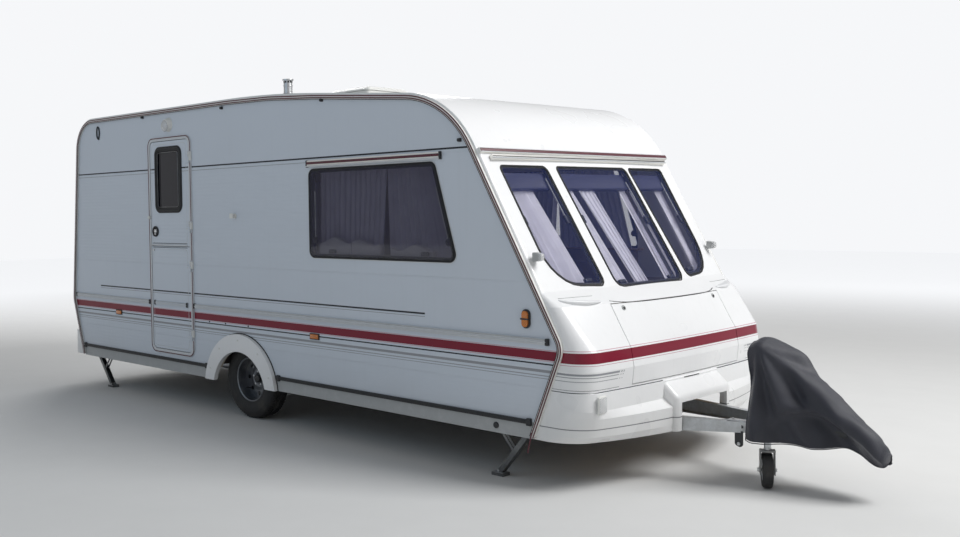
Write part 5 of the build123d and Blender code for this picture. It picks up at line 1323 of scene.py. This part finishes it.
WHEEL_X, WHEEL_Y, WHEEL_Z = -0.868, 0.930, 0.315
PITCHES = 76
TYRE_SECTION = (
    # radius, across: half of the section, from the bead to the crown's middle
    (0.1775, 0.0690),
    (0.1835, 0.0745),
    (0.1900, 0.0800),
    (0.1960, 0.0835),
    (0.2010, 0.0835),
    (0.2150, 0.0880),
    (0.2300, 0.0915),
    (0.2450, 0.0922),
    (0.2600, 0.0910),
    (0.2640, 0.0914),
    (0.2665, 0.0900),
    (0.2740, 0.0882),
    (0.2850, 0.0850),
    (0.2940, 0.0800),
    (0.3005, 0.0730),
    (0.3045, 0.0660),
    (0.3078, 0.0470),
    (0.3080, 0.0410),
    (0.3085, 0.0180),
    (0.3085, 0.0115),
)
TREAD_ROWS = ((0.0470, 0.0660), (0.0180, 0.0410))
TREAD_SLANT = 0.10 / 0.066


def tyre(name, body, side):
    """A road tyre: a turned carcass whose tread blocks are raised between narrow cross grooves."""
    piece = revolved(name, both_ways(TYRE_SECTION), PITCHES * 2, closed=True)
    step = math.pi / PITCHES
    for point in piece.data.vertices:
        x, y, z = point.co
        radius, angle = math.hypot(x, z), math.atan2(z, x)
        angle += (0.26 if round(angle / step) % 2 else -0.26) * step
        if radius > 0.303:
            angle += TREAD_SLANT * abs(y) * (1 if y > 0 else -1)
        point.co = (radius * math.cos(angle), y, radius * math.sin(angle))

    def in_block(c, n):
        if math.hypot(c.x, c.z) < 0.3035:
            return False
        if abs(c.y) < 0.0110:
            return True
        if any(low < abs(c.y) < high for low, high in TREAD_ROWS):
            turn_at = (math.atan2(c.z, c.x) - TREAD_SLANT * c.y) / step
            return round(turn_at - 0.5) % 2 == 1
        return False

    raise_blocks = ("mesh.extrude_region_shrink_fatten", {"TRANSFORM_OT_shrink_fatten": {"value": 0.0062}})
    edit(piece, in_block, raise_blocks, ALL, OUTWARD)
    return fit(smooth(move(piece, WHEEL_X, side * WHEEL_Y, WHEEL_Z), 38), "tyre", body)


road_tyre = tyre("road_tyre_right", "wheel_right", RIGHT)
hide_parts("tyre_right")
other_tyre = move(copied(road_tyre, "road_tyre_left"), 0, 2 * WHEEL_Y, 0)
fit(other_tyre, "tyre", "wheel_left")
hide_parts("tyre_left")

WHEEL_FITTINGS = (
    # name, radius, height, angles, base radius, thickness, rim, corners, finish
    ("wheel_bolt", 0.056, 0.915, range(18, 378, 72), 0.0105, 0.016, 0.0030, 6, "bright"),
    ("bolt_seat", 0.056, 0.915, range(18, 378, 72), 0.0165, 0.005, 0.0020, 24, "wheel"),
    ("balance_weight", 0.166, 0.992, (70,), 0.010, 0.006, 0.002, 24, "zinc"),
)
DISH = ((0.036, 0.0), (0.040, 0.006), (0.074, 0.010), (0.084, 0.004), (0.098, 0.001))
FLANGE = (
    (0.1700, 0.0),
    (0.1765, 0.0015),
    (0.1795, 0.0045),
    (0.1800, 0.0075),
    (0.1780, 0.0085),
    (0.1745, 0.0060),
    (0.1690, 0.0035),
)
VALVE = ((-0.118, 0.915, -0.092), (-0.112, 0.945, -0.087), (-0.108, 0.966, -0.084))
for side, name in SIDES:
    body = "wheel_" + name
    for kind, radius, level, angles, *sizes, corners, shade in WHEEL_FITTINGS:
        spots = arc(WHEEL_X, WHEEL_Z, radius, radius, angles, side * level)
        pieces = [disc(f"{kind}_{name}_{k}", spot, (0, side, 0), *sizes, corners) for k, spot in enumerate(spots)]
        fit(join(f"{kind}s_{name}", pieces), shade, body)
    cap = disc(f"grease_cap_{name}", (WHEEL_X, side * 0.9155, WHEEL_Z), (0, side, 0), 0.032, 0.028, 0.007, 36)
    fit(cap, "hub_cap", body)
    facing_out = Matrix.Diagonal((1, side, 1, 1))
    dish = revolved(f"wheel_dish_{name}", DISH, 64)
    dish.data.transform(facing_out)
    modify(move(dish, WHEEL_X, side * 0.9153, WHEEL_Z), "SOLIDIFY", thickness=0.002, offset=0.0)
    fit(smooth(dish, 50), "wheel", body)
    flange = revolved(f"rim_flange_{name}", FLANGE, 96, closed=True)
    flange.data.transform(facing_out)
    edit(move(flange, WHEEL_X, side * 0.9955, WHEEL_Z), ALL, OUTWARD)
    fit(smooth(flange, 50), "wheel", body)
    route = [(WHEEL_X + x, side * y, WHEEL_Z + z) for x, y, z in VALVE]
    fit(rod(f"valve_{name}", route, 0.0045), "rubber", body)

# jockey wheel: solid tyre, ribbed hub and its axle nuts
JOCKEY_HUB = (2.9875, -0.1397, 0.105)
JOCKEY_TYRE = (
    (0.070, 0.026),
    (0.074, 0.0300),
    (0.085, 0.0305),
    (0.094, 0.0290),
    (0.101, 0.0245),
    (0.1042, 0.0180),
    (0.1050, 0.0080),
)
HUB_LINE = ((0.0085, 0.030), (0.020, 0.030), (0.023, 0.012), (0.058, 0.010), (0.063, 0.024), (0.0712, 0.026))


def on_jockey(piece):
    """Moves a piece drawn about the origin, axle along Y, to the jockey wheel."""
    return move(turn(piece, -60, "Z"), *JOCKEY_HUB)


jockey_tyre = on_jockey(revolved("jockey_tyre", both_ways(JOCKEY_TYRE), 72, closed=True))
fit(smooth(jockey_tyre, 50), "tyre", "jockey_roller")
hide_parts("jockey_wheel")
hub = [revolved("jockey_hub", both_ways(HUB_LINE), 48, closed=True)]
for number in range(6):
    spoke = block(f"jockey_spoke_{number}", (0.018, -0.022, -0.0025), (0.064, 0.022, 0.0025))
    hub.append(turn(spoke, 60 * number, "Y"))
fit(smooth(on_jockey(join("jockey_hub", hub))), "hub", "jockey_roller")
for number, way in enumerate((-1, 1)):
    nut = disc(f"jockey_nut_{number}", (0, way * 0.0455, 0), (0, way, 0), 0.0115, 0.009, 0.002, 6)
    fit(on_jockey(nut), "bright", "jockey_swivel")
    washer = disc(f"jockey_washer_{number}", (0, way * 0.0420, 0), (0, way, 0), 0.0155, 0.0035, 0.001, 24)
    fit(on_jockey(washer), "zinc", "jockey_swivel")

# clamp of the jockey tube with its T-bar, bolts and the tube's collars
POST_X, POST_Y, CLAMP_Y = 3.005, -0.170, -0.209
for number, (level, radius, thick) in enumerate(((0.286, 0.0270, 0.012), (0.730, 0.0275, 0.016))):
    fit(disc(f"jockey_collar_{number}", (POST_X, POST_Y, level), UP, radius, thick, 0.002, 32), "zinc")
stem = rod("clamp_screw", [(POST_X, -0.190, 0.343), (POST_X, CLAMP_Y, 0.343)], 0.0065)
bar = rod("clamp_bar", [(POST_X, CLAMP_Y, 0.311), (POST_X, CLAMP_Y, 0.375)], 0.0060)
fit(join("jockey_clamp_handle", [stem, bar]), "zinc")
for number, x in enumerate((2.983, 3.027)):
    for level in (0.328, 0.358):
        bolt = f"clamp_bolt_{number}_{round(level * 1000)}"
        fit(disc(bolt, (x, -0.1685, level), TO_RIGHT, 0.0065, 0.006, 0.0015, 6), "bright")
GRIP_LINE = ((0.012, -0.030), (0.0145, -0.026), (0.0138, 0.0), (0.0148, 0.022), (0.0125, 0.030))
grip = turn(revolved("crank_grip", GRIP_LINE, 24), 90, "X")
fit(smooth(move(grip, POST_X, -0.070, 0.813), 50), "black")

# ---------------------------------------------------------------- draw bar and coupling

ARM_START, ARM_SPREAD = 1.300, 0.604
ARM_SLOPE = -(ARM_SPREAD - 0.062) / (3.150 - ARM_START)
STEP_X, LUG_X = 2.840, 2.832


def arm_y(x):
    """Middle of the right arm of the draw bar, across."""
    return -(ARM_SPREAD + (x - ARM_START) * ARM_SLOPE)


step_plate = block("step_plate", (2.760, arm_y(STEP_X) - 0.030, 0.3740), (2.900, arm_y(STEP_X) + 0.030, 0.3820))
fit(soften(step_plate, 0.003, 3), "zinc")
for number, x in enumerate((2.785, 2.875)):
    fit(disc(f"step_plate_bolt_{number}", (x, arm_y(STEP_X), 0.3815), UP, 0.009, 0.007, 0.002, 6), "bright")
lug_line = rounded(((2.806, 0.318, 0.002), (2.806, 0.232, 0.020), (2.858, 0.214, 0.020), (2.858, 0.318, 0.002)), 12)
fit(soften(plate("arm_lug", lug_line, arm_y(LUG_X) - 0.020, 0.006), 0.0012), "cast")
fit(disc("arm_lug_pin", (2.834, arm_y(LUG_X) - 0.020, 0.242), TO_RIGHT, 0.010, 0.010, 0.002, 24), "bright")
fit(disc("arm_hole", (2.850, arm_y(2.850) - 0.0237, 0.345), (-0.28, -0.96, 0), 0.010, 0.0010), "black")
for side, name in SIDES:
    for number, x in enumerate((2.935, 3.075)):
        spot = (x, side * (0.0232 - arm_y(x)), 0.345)
        fit(disc(f"arm_bolt_{name}_{number}", spot, (0.28, side * 0.96, 0), 0.010, 0.007, 0.002, 6), "bright")

# coupling: ball hood's rolled lip, indicator button and bolts, and the hand brake's grip
lip = [(x, y, 0.3275) for x, _, y in arc(3.465, 0, 0.047, 0.047, range(0, 360, 12), 0)]
fit(rod("coupling_lip", lip, 0.0032, True, 1), "cast")
button_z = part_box("coupling_head")[1][2] - 0.002
fit(disc("coupling_button", (3.425, 0, button_z), UP, 0.009, 0.008, 0.002, 20), "maroon")
for number, (x, y) in enumerate(((3.190, -0.030), (3.190, 0.030), (3.270, -0.030), (3.270, 0.030))):
    fit(disc(f"coupling_bolt_{number}", (x, y, 0.3835), UP, 0.0085, 0.007, 0.002, 6), "bright")
route = [(3.1865, 0, 0.606), (3.1855, 0, 0.616), (3.1765, 0, 0.685), (3.1755, 0, 0.692)]
fit(rod("handbrake_grip", route, 0.0150, sides=4), "black")

# ---------------------------------------------------------------- corner steadies

STEADY_CORNERS = (
    # name, hinge x, way the foot points, side
    ("front_right", 1.925, -1, RIGHT),
    ("front_left", 1.925, -1, LEFT),
    ("rear_right", -3.290, 1, RIGHT),
    ("rear_left", -3.290, 1, LEFT),
)
LEG, LEG_DROP, BRACE_REACH = 0.369, 0.285, 0.360
LEG_COS = math.cos(math.asin(LEG_DROP / LEG))
SCREW_Z = 0.3215
for name, hinge_x, way, side in STEADY_CORNERS:
    y = side * 1.000
    leg = "leg_" + name
    foot_x = hinge_x + way * LEG * LEG_COS
    head_x, nut_x = hinge_x - way * 0.038, hinge_x + way * BRACE_REACH * LEG_COS
    fit(rod(f"steady_screw_{name}", [(head_x, y, SCREW_Z), (nut_x + way * 0.16, y, SCREW_Z)], 0.0075), "bright")
    fit(disc(f"steady_hexagon_{name}", (head_x, y, SCREW_Z), (-way, 0, 0), 0.0125, 0.030, 0.002, 6), "bright")
    for end in (RIGHT, LEFT):
        pin = f"steady_pin_{name}_{'out' if end == side else 'in'}"
        fit(disc(pin, (hinge_x, y + end * 0.030, 0.305), (0, end, 0), 0.011, 0.006, 0.002, 20), "bright")
    sole = block(f"steady_sole_{name}", (foot_x - 0.045, y - 0.035, 0.0195), (foot_x + 0.045, y + 0.035, 0.0235))
    fit(soften(press(sole, "+z", scale=(0.86, 0.84, 1)), 0.001), "zinc", leg)
    fit(rod(f"steady_foot_pin_{name}", [(foot_x, y - 0.027, 0.031), (foot_x, y + 0.027, 0.031)], 0.007), "bright", leg)

# ---------------------------------------------------------------- cloth cover over the hitch

COVER_RIBS = (
    # x, right edge, left edge, hem height, right shoulder height, right ridge across and height, left ridge across, top
    (2.905, -0.224, 0.200, 0.283, 0.785, -0.205, 0.840, -0.120, 0.856),
    (2.960, -0.238, 0.200, 0.280, 0.792, -0.205, 0.866, -0.098, 0.884),
    (3.030, -0.240, 0.195, 0.276, 0.745, -0.200, 0.840, -0.048, 0.866),
    (3.140, -0.215, 0.172, 0.268, 0.548, -0.122, 0.755, 0.000, 0.790),
    (3.225, -0.186, 0.150, 0.262, 0.512, -0.092, 0.675, 0.018, 0.680),
    (3.345, -0.146, 0.124, 0.254, 0.466, -0.058, 0.556, 0.030, 0.532),
    (3.450, -0.108, 0.102, 0.240, 0.430, -0.040, 0.440, 0.036, 0.450),
    (3.550, -0.080, 0.078, 0.203, 0.340, -0.034, 0.362, 0.038, 0.388),
    (3.600, -0.042, 0.056, 0.210, 0.258, -0.016, 0.296, 0.036, 0.310),
)
# right side, where the cloth is tucked in under a fold: x and the fold's height, x and how deep
TUCK_FOLD = ((2.96, 0.300), (3.03, 0.400), (3.14, 0.500), (3.28, 0.470), (3.40, 0.420), (3.52, 0.330), (3.60, 0.250))
TUCK_DEPTH = ((2.96, 0.0), (3.03, 0.022), (3.14, 0.062), (3.28, 0.052), (3.40, 0.040), (3.52, 0.022), (3.60, 0.0))
# lean of the open rear edge: height, how far it stands behind or ahead of the first rib
REAR_EDGE = ((0.20, -0.006), (0.283, -0.004), (0.48, 0.012), (0.664, 0.022), (0.797, 0.006), (0.884, 0.020))
# folds as an angle below the line ahead of the peak, their spread, and how proud they stand
PEAK_X, PEAK_Z = 2.990, 0.872
RIGHT_FOLDS = (
    (24, 5, 0.010),
    (33, 4, -0.012),
    (43, 5, 0.013),
    (55, 6, -0.016),
    (68, 6, 0.012),
    (80, 5, -0.010),
    (92, 6, 0.012),
    (104, 5, -0.010),
)
LEFT_FOLDS = ((28, 6, 0.010), (42, 6, -0.012), (58, 7, 0.013), (74, 6, -0.014), (90, 7, 0.012))
FOLD_DEPTH = 2.9
ACROSS_STEPS = (16, 14, 8, 14, 16)
LENGTHWISE = 92


def through(values, at):
    """A smooth value through evenly numbered ones."""
    last = len(values) - 1
    k = min(int(at), last - 1)
    t = at - k
    p0, p1, p2, p3 = (values[max(0, min(last, k + j))] for j in (-1, 0, 1, 2))
    return 0.5 * (2 * p1 + (p2 - p0) * t + (2 * p0 - 5 * p1 + 4 * p2 - p3) * t * t + (3 * p1 - p0 - 3 * p2 + p3) * t**3)


def along_table(table, at):
    for (a, u), (b, v) in zip(table, table[1:]):
        if at <= b:
            return u + (v - u) * max(0.0, (at - a) / (b - a))
    return table[-1][1]


def clamped(value):
    return min(1.0, max(0.0, value))


def hump(at, middle, width):
    return math.exp(-(((at - middle) / width) ** 2))


def cover_arc(rib):
    """Points (across, up) over the cover from the right hem to the left one, at one rib."""
    x, right, left, hem, shoulder, ridge_y, ridge_z, top_y, top_z = rib
    tuck = 0.045 * clamped((x - 3.02) / 0.20) * clamped((3.60 - x) / 0.12)
    corners = (
        (right + tuck, hem),
        (right, shoulder),
        (ridge_y, ridge_z),
        (top_y, top_z),
        (left, hem + (top_z - hem) * 0.45),
        (left - tuck * 0.5, hem),
    )
    points = []
    for k, count in enumerate(ACROSS_STEPS):
        for j in range(count):
            t = j / count
            bent = [through([c[axis] for c in corners], k + t) for axis in (0, 1)]
            straight = [a + (b - a) * t for a, b in zip(corners[k], corners[k + 1])]
            points.append([0.42 * a + 0.58 * b for a, b in zip(bent, straight)])
    points.append(list(corners[-1]))
    return points


def folds(x, y, z, share):
    """How far the cloth stands out where it falls in folds from the peak over the jockey handle."""
    along, down = x - PEAK_X, PEAK_Z - z
    way = math.degrees(math.atan2(down, along + 0.02))
    swell = clamped((math.hypot(along, down) - 0.06) / 0.30)
    fan = sum(depth * hump(way, middle, width) for middle, width, depth in (RIGHT_FOLDS if y < 0 else LEFT_FOLDS))
    ripple = 0.0035 * math.sin(38.0 * x + 9.0 * z + 3.0 * y) + 0.0025 * math.sin(71.0 * (x + 0.6 * z))
    hem = max(0.0, 1.0 - (share if y < 0 else 1.0 - share) * 7.0)
    wave = 0.010 * hem * math.sin(29.0 * x + 1.2)
    if y < 0:
        fold, depth = along_table(TUCK_FOLD, x), along_table(TUCK_DEPTH, x)
        under = clamped((fold - z) / 0.045)
        tucked = depth * (3 * under**2 - 2 * under**3) - 0.008 * hump(z, fold, 0.020) * (depth > 0)
        flap = 0.016 * hump(z + (x - 2.93) * 1.1, 0.375, 0.028) * max(0.0, 1.0 - abs(x - 2.95) / 0.09)
        wave += flap - tucked
    return fan * FOLD_DEPTH * swell + ripple * swell + wave


rows = []
for k in range(LENGTHWISE + 1):
    at = (len(COVER_RIBS) - 1) * k / LENGTHWISE
    rib = [through(column, at) for column in zip(*COVER_RIBS)]
    row = []
    line = cover_arc(rib)
    for number, (y, z) in enumerate(line):
        lean = along_table(REAR_EDGE, z) * max(0.0, 1.0 - (rib[0] - COVER_RIBS[0][0]) / 0.12)
        before, after = Vector(line[max(0, number - 1)]), Vector(line[min(len(line) - 1, number + 1)])
        tangent = (after - before).normalized()
        out = folds(rib[0], y, z, number / (len(line) - 1))
        row.append(Vector((rib[0] + lean, y - tangent.y * out, z + tangent.x * out)))
    rows.append(row)
# rounded nose: the last rib drawn in towards its middle
last = rows[-1]
NOSE = Vector((3.600, 0.008, 0.256))
for share_in, push in ((0.95, 0.005), (0.84, 0.011), (0.66, 0.0165), (0.40, 0.0200), (0.12, 0.0215)):
    drawn_in = [NOSE + (p - NOSE) * share_in for p in last]
    rows.append([Vector((NOSE.x + push, p.y, p.z)) for p in drawn_in])

count = len(last)
faces = [
    (start + k, start + count + k, start + count + k + 1, start + k + 1)
    for start in range(0, count * (len(rows) - 1), count)
    for k in range(count - 1)
]
cloth = edit(drawn("cloth_cover", [p for row in rows for p in row], faces=faces), ALL, OUTWARD)
modify(cloth, "CORRECTIVE_SMOOTH", iterations=2, use_only_smooth=True)
long = sum((b[30] - a[30]).length for a, b in zip(rows, rows[1:]))
modify(cloth, "SOLIDIFY", thickness=0.0016, offset=-1.0)
fit(smooth(cloth, 60), "cover")
hem_line = [row[0] for row in reversed(rows[:-2])] + rows[0][1:-1] + [row[-1] for row in rows[:-2]]
hem = fit(rod("cover_hem", hem_line, 0.0032, sides=1), "cover")
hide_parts("hitch_cover")

# ---------------------------------------------------------------- front: handles, locks, reflectors, lid

# grab handles: a thin blade along the ledge, standing off it in the middle
BLADE_OUTER, BLADE_INNER = 1.020, 0.700
BLADE_STEPS = 16
sections = []
for k in range(BLADE_STEPS + 1):
    t = k / BLADE_STEPS
    y = -(BLADE_OUTER + (BLADE_INNER - BLADE_OUTER) * t)
    z = 1.128 - 0.022 * t
    reach = 0.006 + 0.044 * math.sin(math.pi * t) ** 0.7
    drop = 0.006 + 0.032 * math.sin(math.pi * t**0.8)
    skin = front_x(y, z - 0.008)
    # out from the skin, down from the ledge
    section = (
        (-0.014, 0.0),
        (reach * 0.7, 0.002),
        (reach, 0.006),
        (reach * 0.9, 0.006 + drop * 0.6),
        (reach * 0.5, 0.006 + drop),
        (-0.014, 0.010),
    )
    sections.append([(skin + out, y, z - down) for out, down in section])
right_blade = smooth(modify(lofted("grab_blade_right", sections), "SUBSURF", levels=1), 50)
left_blade = mirrored(right_blade, "grab_blade_left")
blades = fit(join("grab_blades", [right_blade, left_blade]), "pull")
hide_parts("grab_handles")
SEAL_Z = 1.131
for side, name in SIDES:
    ends = [side * across for across in (1.005, 0.95, 0.90, 0.85, 0.80, 0.75, 0.715)]
    route = [(front_x(y, SEAL_Z) + 0.0012, y, SEAL_Z) for y in ends]
    fit(rod("grab_seal_" + name, route, 0.0022, sides=1), "grey")

# turn locks of the locker lid, in shallow round cups
LID_LOOK = (0.92, 0, 0.39)
for side, name in SIDES:
    y, z = side * 0.545, 1.050
    x = front_x(y, z)
    cup = disc(f"lid_lock_cup_{name}", (x - 0.004, y, z), LID_LOOK, 0.017, 0.007, 0.002, 28)
    fit(cup, "grey", "locker_lid")
    key = disc(f"lid_lock_key_{name}", (x + 0.001, y, z), LID_LOOK, 0.009, 0.006, 0.0015, 20)
    fit(key, "black", "locker_lid")

# white reflectors at the front's corners
for side, name in SIDES:
    y, z = side * 0.945, 0.522
    x = front_x(y, z)
    lean = math.degrees(math.atan2(x - front_x(y + side * 0.03, z), 0.03)) * side
    base = block(f"front_reflector_foot_{name}", (-0.006, -0.050, -0.052), (0.004, 0.050, 0.052))
    glass = block(f"front_reflector_{name}", (0.003, -0.043, -0.045), (0.009, 0.043, 0.045))
    for piece, shade in ((base, "white_plastic"), (glass, "reflector")):
        fit(move(turn(soften(piece, 0.003), -lean, "Z"), x + 0.004, y, z), shade)

# rubber in the seam over the lid: level in the middle, rising to its ends
SEAM_HALF, SEAM_STEPS = 0.628, 20
seam = []
for k in range(-SEAM_STEPS, SEAM_STEPS + 1):
    share = k / SEAM_STEPS
    y, z = SEAM_HALF * share, 1.0785 + 0.019 * abs(share) ** 6
    seam.append((front_x(y, z) + 0.0008, y, z))
fit(rod("lid_seam", seam, 0.0026, sides=1), "black")

# long black strip in the lid's lower edge: a painted shadow of the recess between lid and hood
fit(soften(block("lid_recess_shadow", (2.4345, -0.100, 0.5865), (2.4400, 0.083, 0.5925)), 0.0015, 1), "black")

# ---------------------------------------------------------------- what shows through the side windows


def crown_of(pad, amount):
    """Swells the faces of a pad outward, most in their middles."""
    corners = [Vector(corner) for corner in pad.bound_box]
    middle = (corners[0] + corners[6]) / 2
    half = (corners[6] - corners[0]) / 2
    for point in pad.data.vertices:
        share = [(point.co[k] - middle[k]) / half[k] for k in range(3)]
        for k in range(3):
            across, up = (share[j] for j in range(3) if j != k)
            if abs(share[k]) > 0.999:
                point.co[k] += amount * share[k] * (1 - across**2) * (1 - up**2)
    return pad


LEDGE_TOP = 1.342
# x from, x to, top
BOLSTERS = ((0.060, 0.400, 1.475), (0.410, 0.690, 1.460), (0.800, 1.180, 1.430))
for side, name in SIDES:
    ledge = "window_ledge_" + name
    ledge = side_block(ledge, side, (-0.020, 1.450), (1.000, 1.064), (LEDGE_TOP - 0.018, LEDGE_TOP))
    fit(soften(ledge, 0.004, 3), "ply")
    for number, (x0, x1, top) in enumerate(BOLSTERS):
        bolster = f"bolster_{name}_{number}"
        bolster = side_block(bolster, side, (x0, x1), (1.010, 1.054), (LEDGE_TOP + 0.001, top))
        crown_of(modify(bolster, "SUBSURF", levels=4, subdivision_type="SIMPLE"), 0.008)
        for point in bolster.data.vertices:
            sink = max(0.0, (point.co.z - LEDGE_TOP - 0.05) / (top - LEDGE_TOP - 0.05))
            point.co.z -= 0.020 * sink * (1.0 + math.sin(21.0 * point.co.x + number))
            point.co.y -= 0.0025 * math.sin(34.0 * point.co.x + 27.0 * point.co.z) * side
        fit(soften(bolster, 0.016, 3), "pillow")

# ---------------------------------------------------------------- floor, light

floor = begin("floor", "plane", size=60.0, location=(0, 0, -0.001))
floor_paint = Paint("pale_floor", (0.66, 0.66, 0.65), rough=0.9)
floor_paint.set("Base Color", floor_paint.mix(floor_paint.cloud(3.0, 4.0), (0.64, 0.64, 0.63), (0.68, 0.68, 0.67)))
# far out the floor glows faintly, so that it meets the sky
reach = floor_paint.node("ShaderNodeVectorMath", {"operation": "LENGTH"}, floor_paint.place(), out=1)
floor_paint.set("Emission Color", floor_paint.mix(reach.fade(6.0, 16.0), (0.0, 0.0, 0.0), (0.66, 0.67, 0.69)))
floor_paint.set("Emission Strength", 1.0)
floor.data.materials.append(floor_paint.material)

# the sky looks bright to the camera and through glass, and lights the rest more softly
world = bpy.data.worlds.new("studio")
scene.world = world
world.use_nodes = True
air = world.node_tree
background = air.nodes["Background"]
rays = air.nodes.new("ShaderNodeLightPath")
seen = air.nodes.new("ShaderNodeMath")
seen.operation = "MAXIMUM"
air.links.new(rays.outputs["Is Camera Ray"], seen.inputs[0])
air.links.new(rays.outputs["Is Transmission Ray"], seen.inputs[1])
strength = air.nodes.new("ShaderNodeMix")
strength.data_type = "FLOAT"
strength.inputs[2].default_value = 0.34
strength.inputs[3].default_value = 0.95
air.links.new(seen.outputs[0], strength.inputs[0])
air.links.new(strength.outputs[0], background.inputs["Strength"])
background.inputs["Color"].default_value = (0.97, 0.98, 1.0, 1)

LAMPS = (
    # name, place, aimed at, size, watts, colour
    ("key", (7.5, 2.5, 8.5), (0.8, 0, 1.0), 5.0, 900, (1, 1, 1)),
    ("side_fill", (-1.5, -9.0, 5.0), (-0.8, 0, 1.2), 6.0, 55, (0.35, 0.68, 1.0)),
    ("back_fill", (-8.0, 6.0, 6.0), (-1.0, 0, 1.2), 6.0, 420, (1, 1, 1)),
)
for name, spot, aim, size, watts, colour in LAMPS:
    lamp_data = bpy.data.lights.new(name, "AREA")
    lamp_data.size = size
    lamp_data.energy = watts
    lamp_data.color = colour
    lamp = bpy.data.objects.new(name, lamp_data)
    lamp.location = spot
    lamp.rotation_euler = (Vector(aim) - Vector(spot)).to_track_quat("-Z", "Y").to_euler()
    scene.collection.objects.link(lamp)

scene.view_settings.view_transform = "Standard"
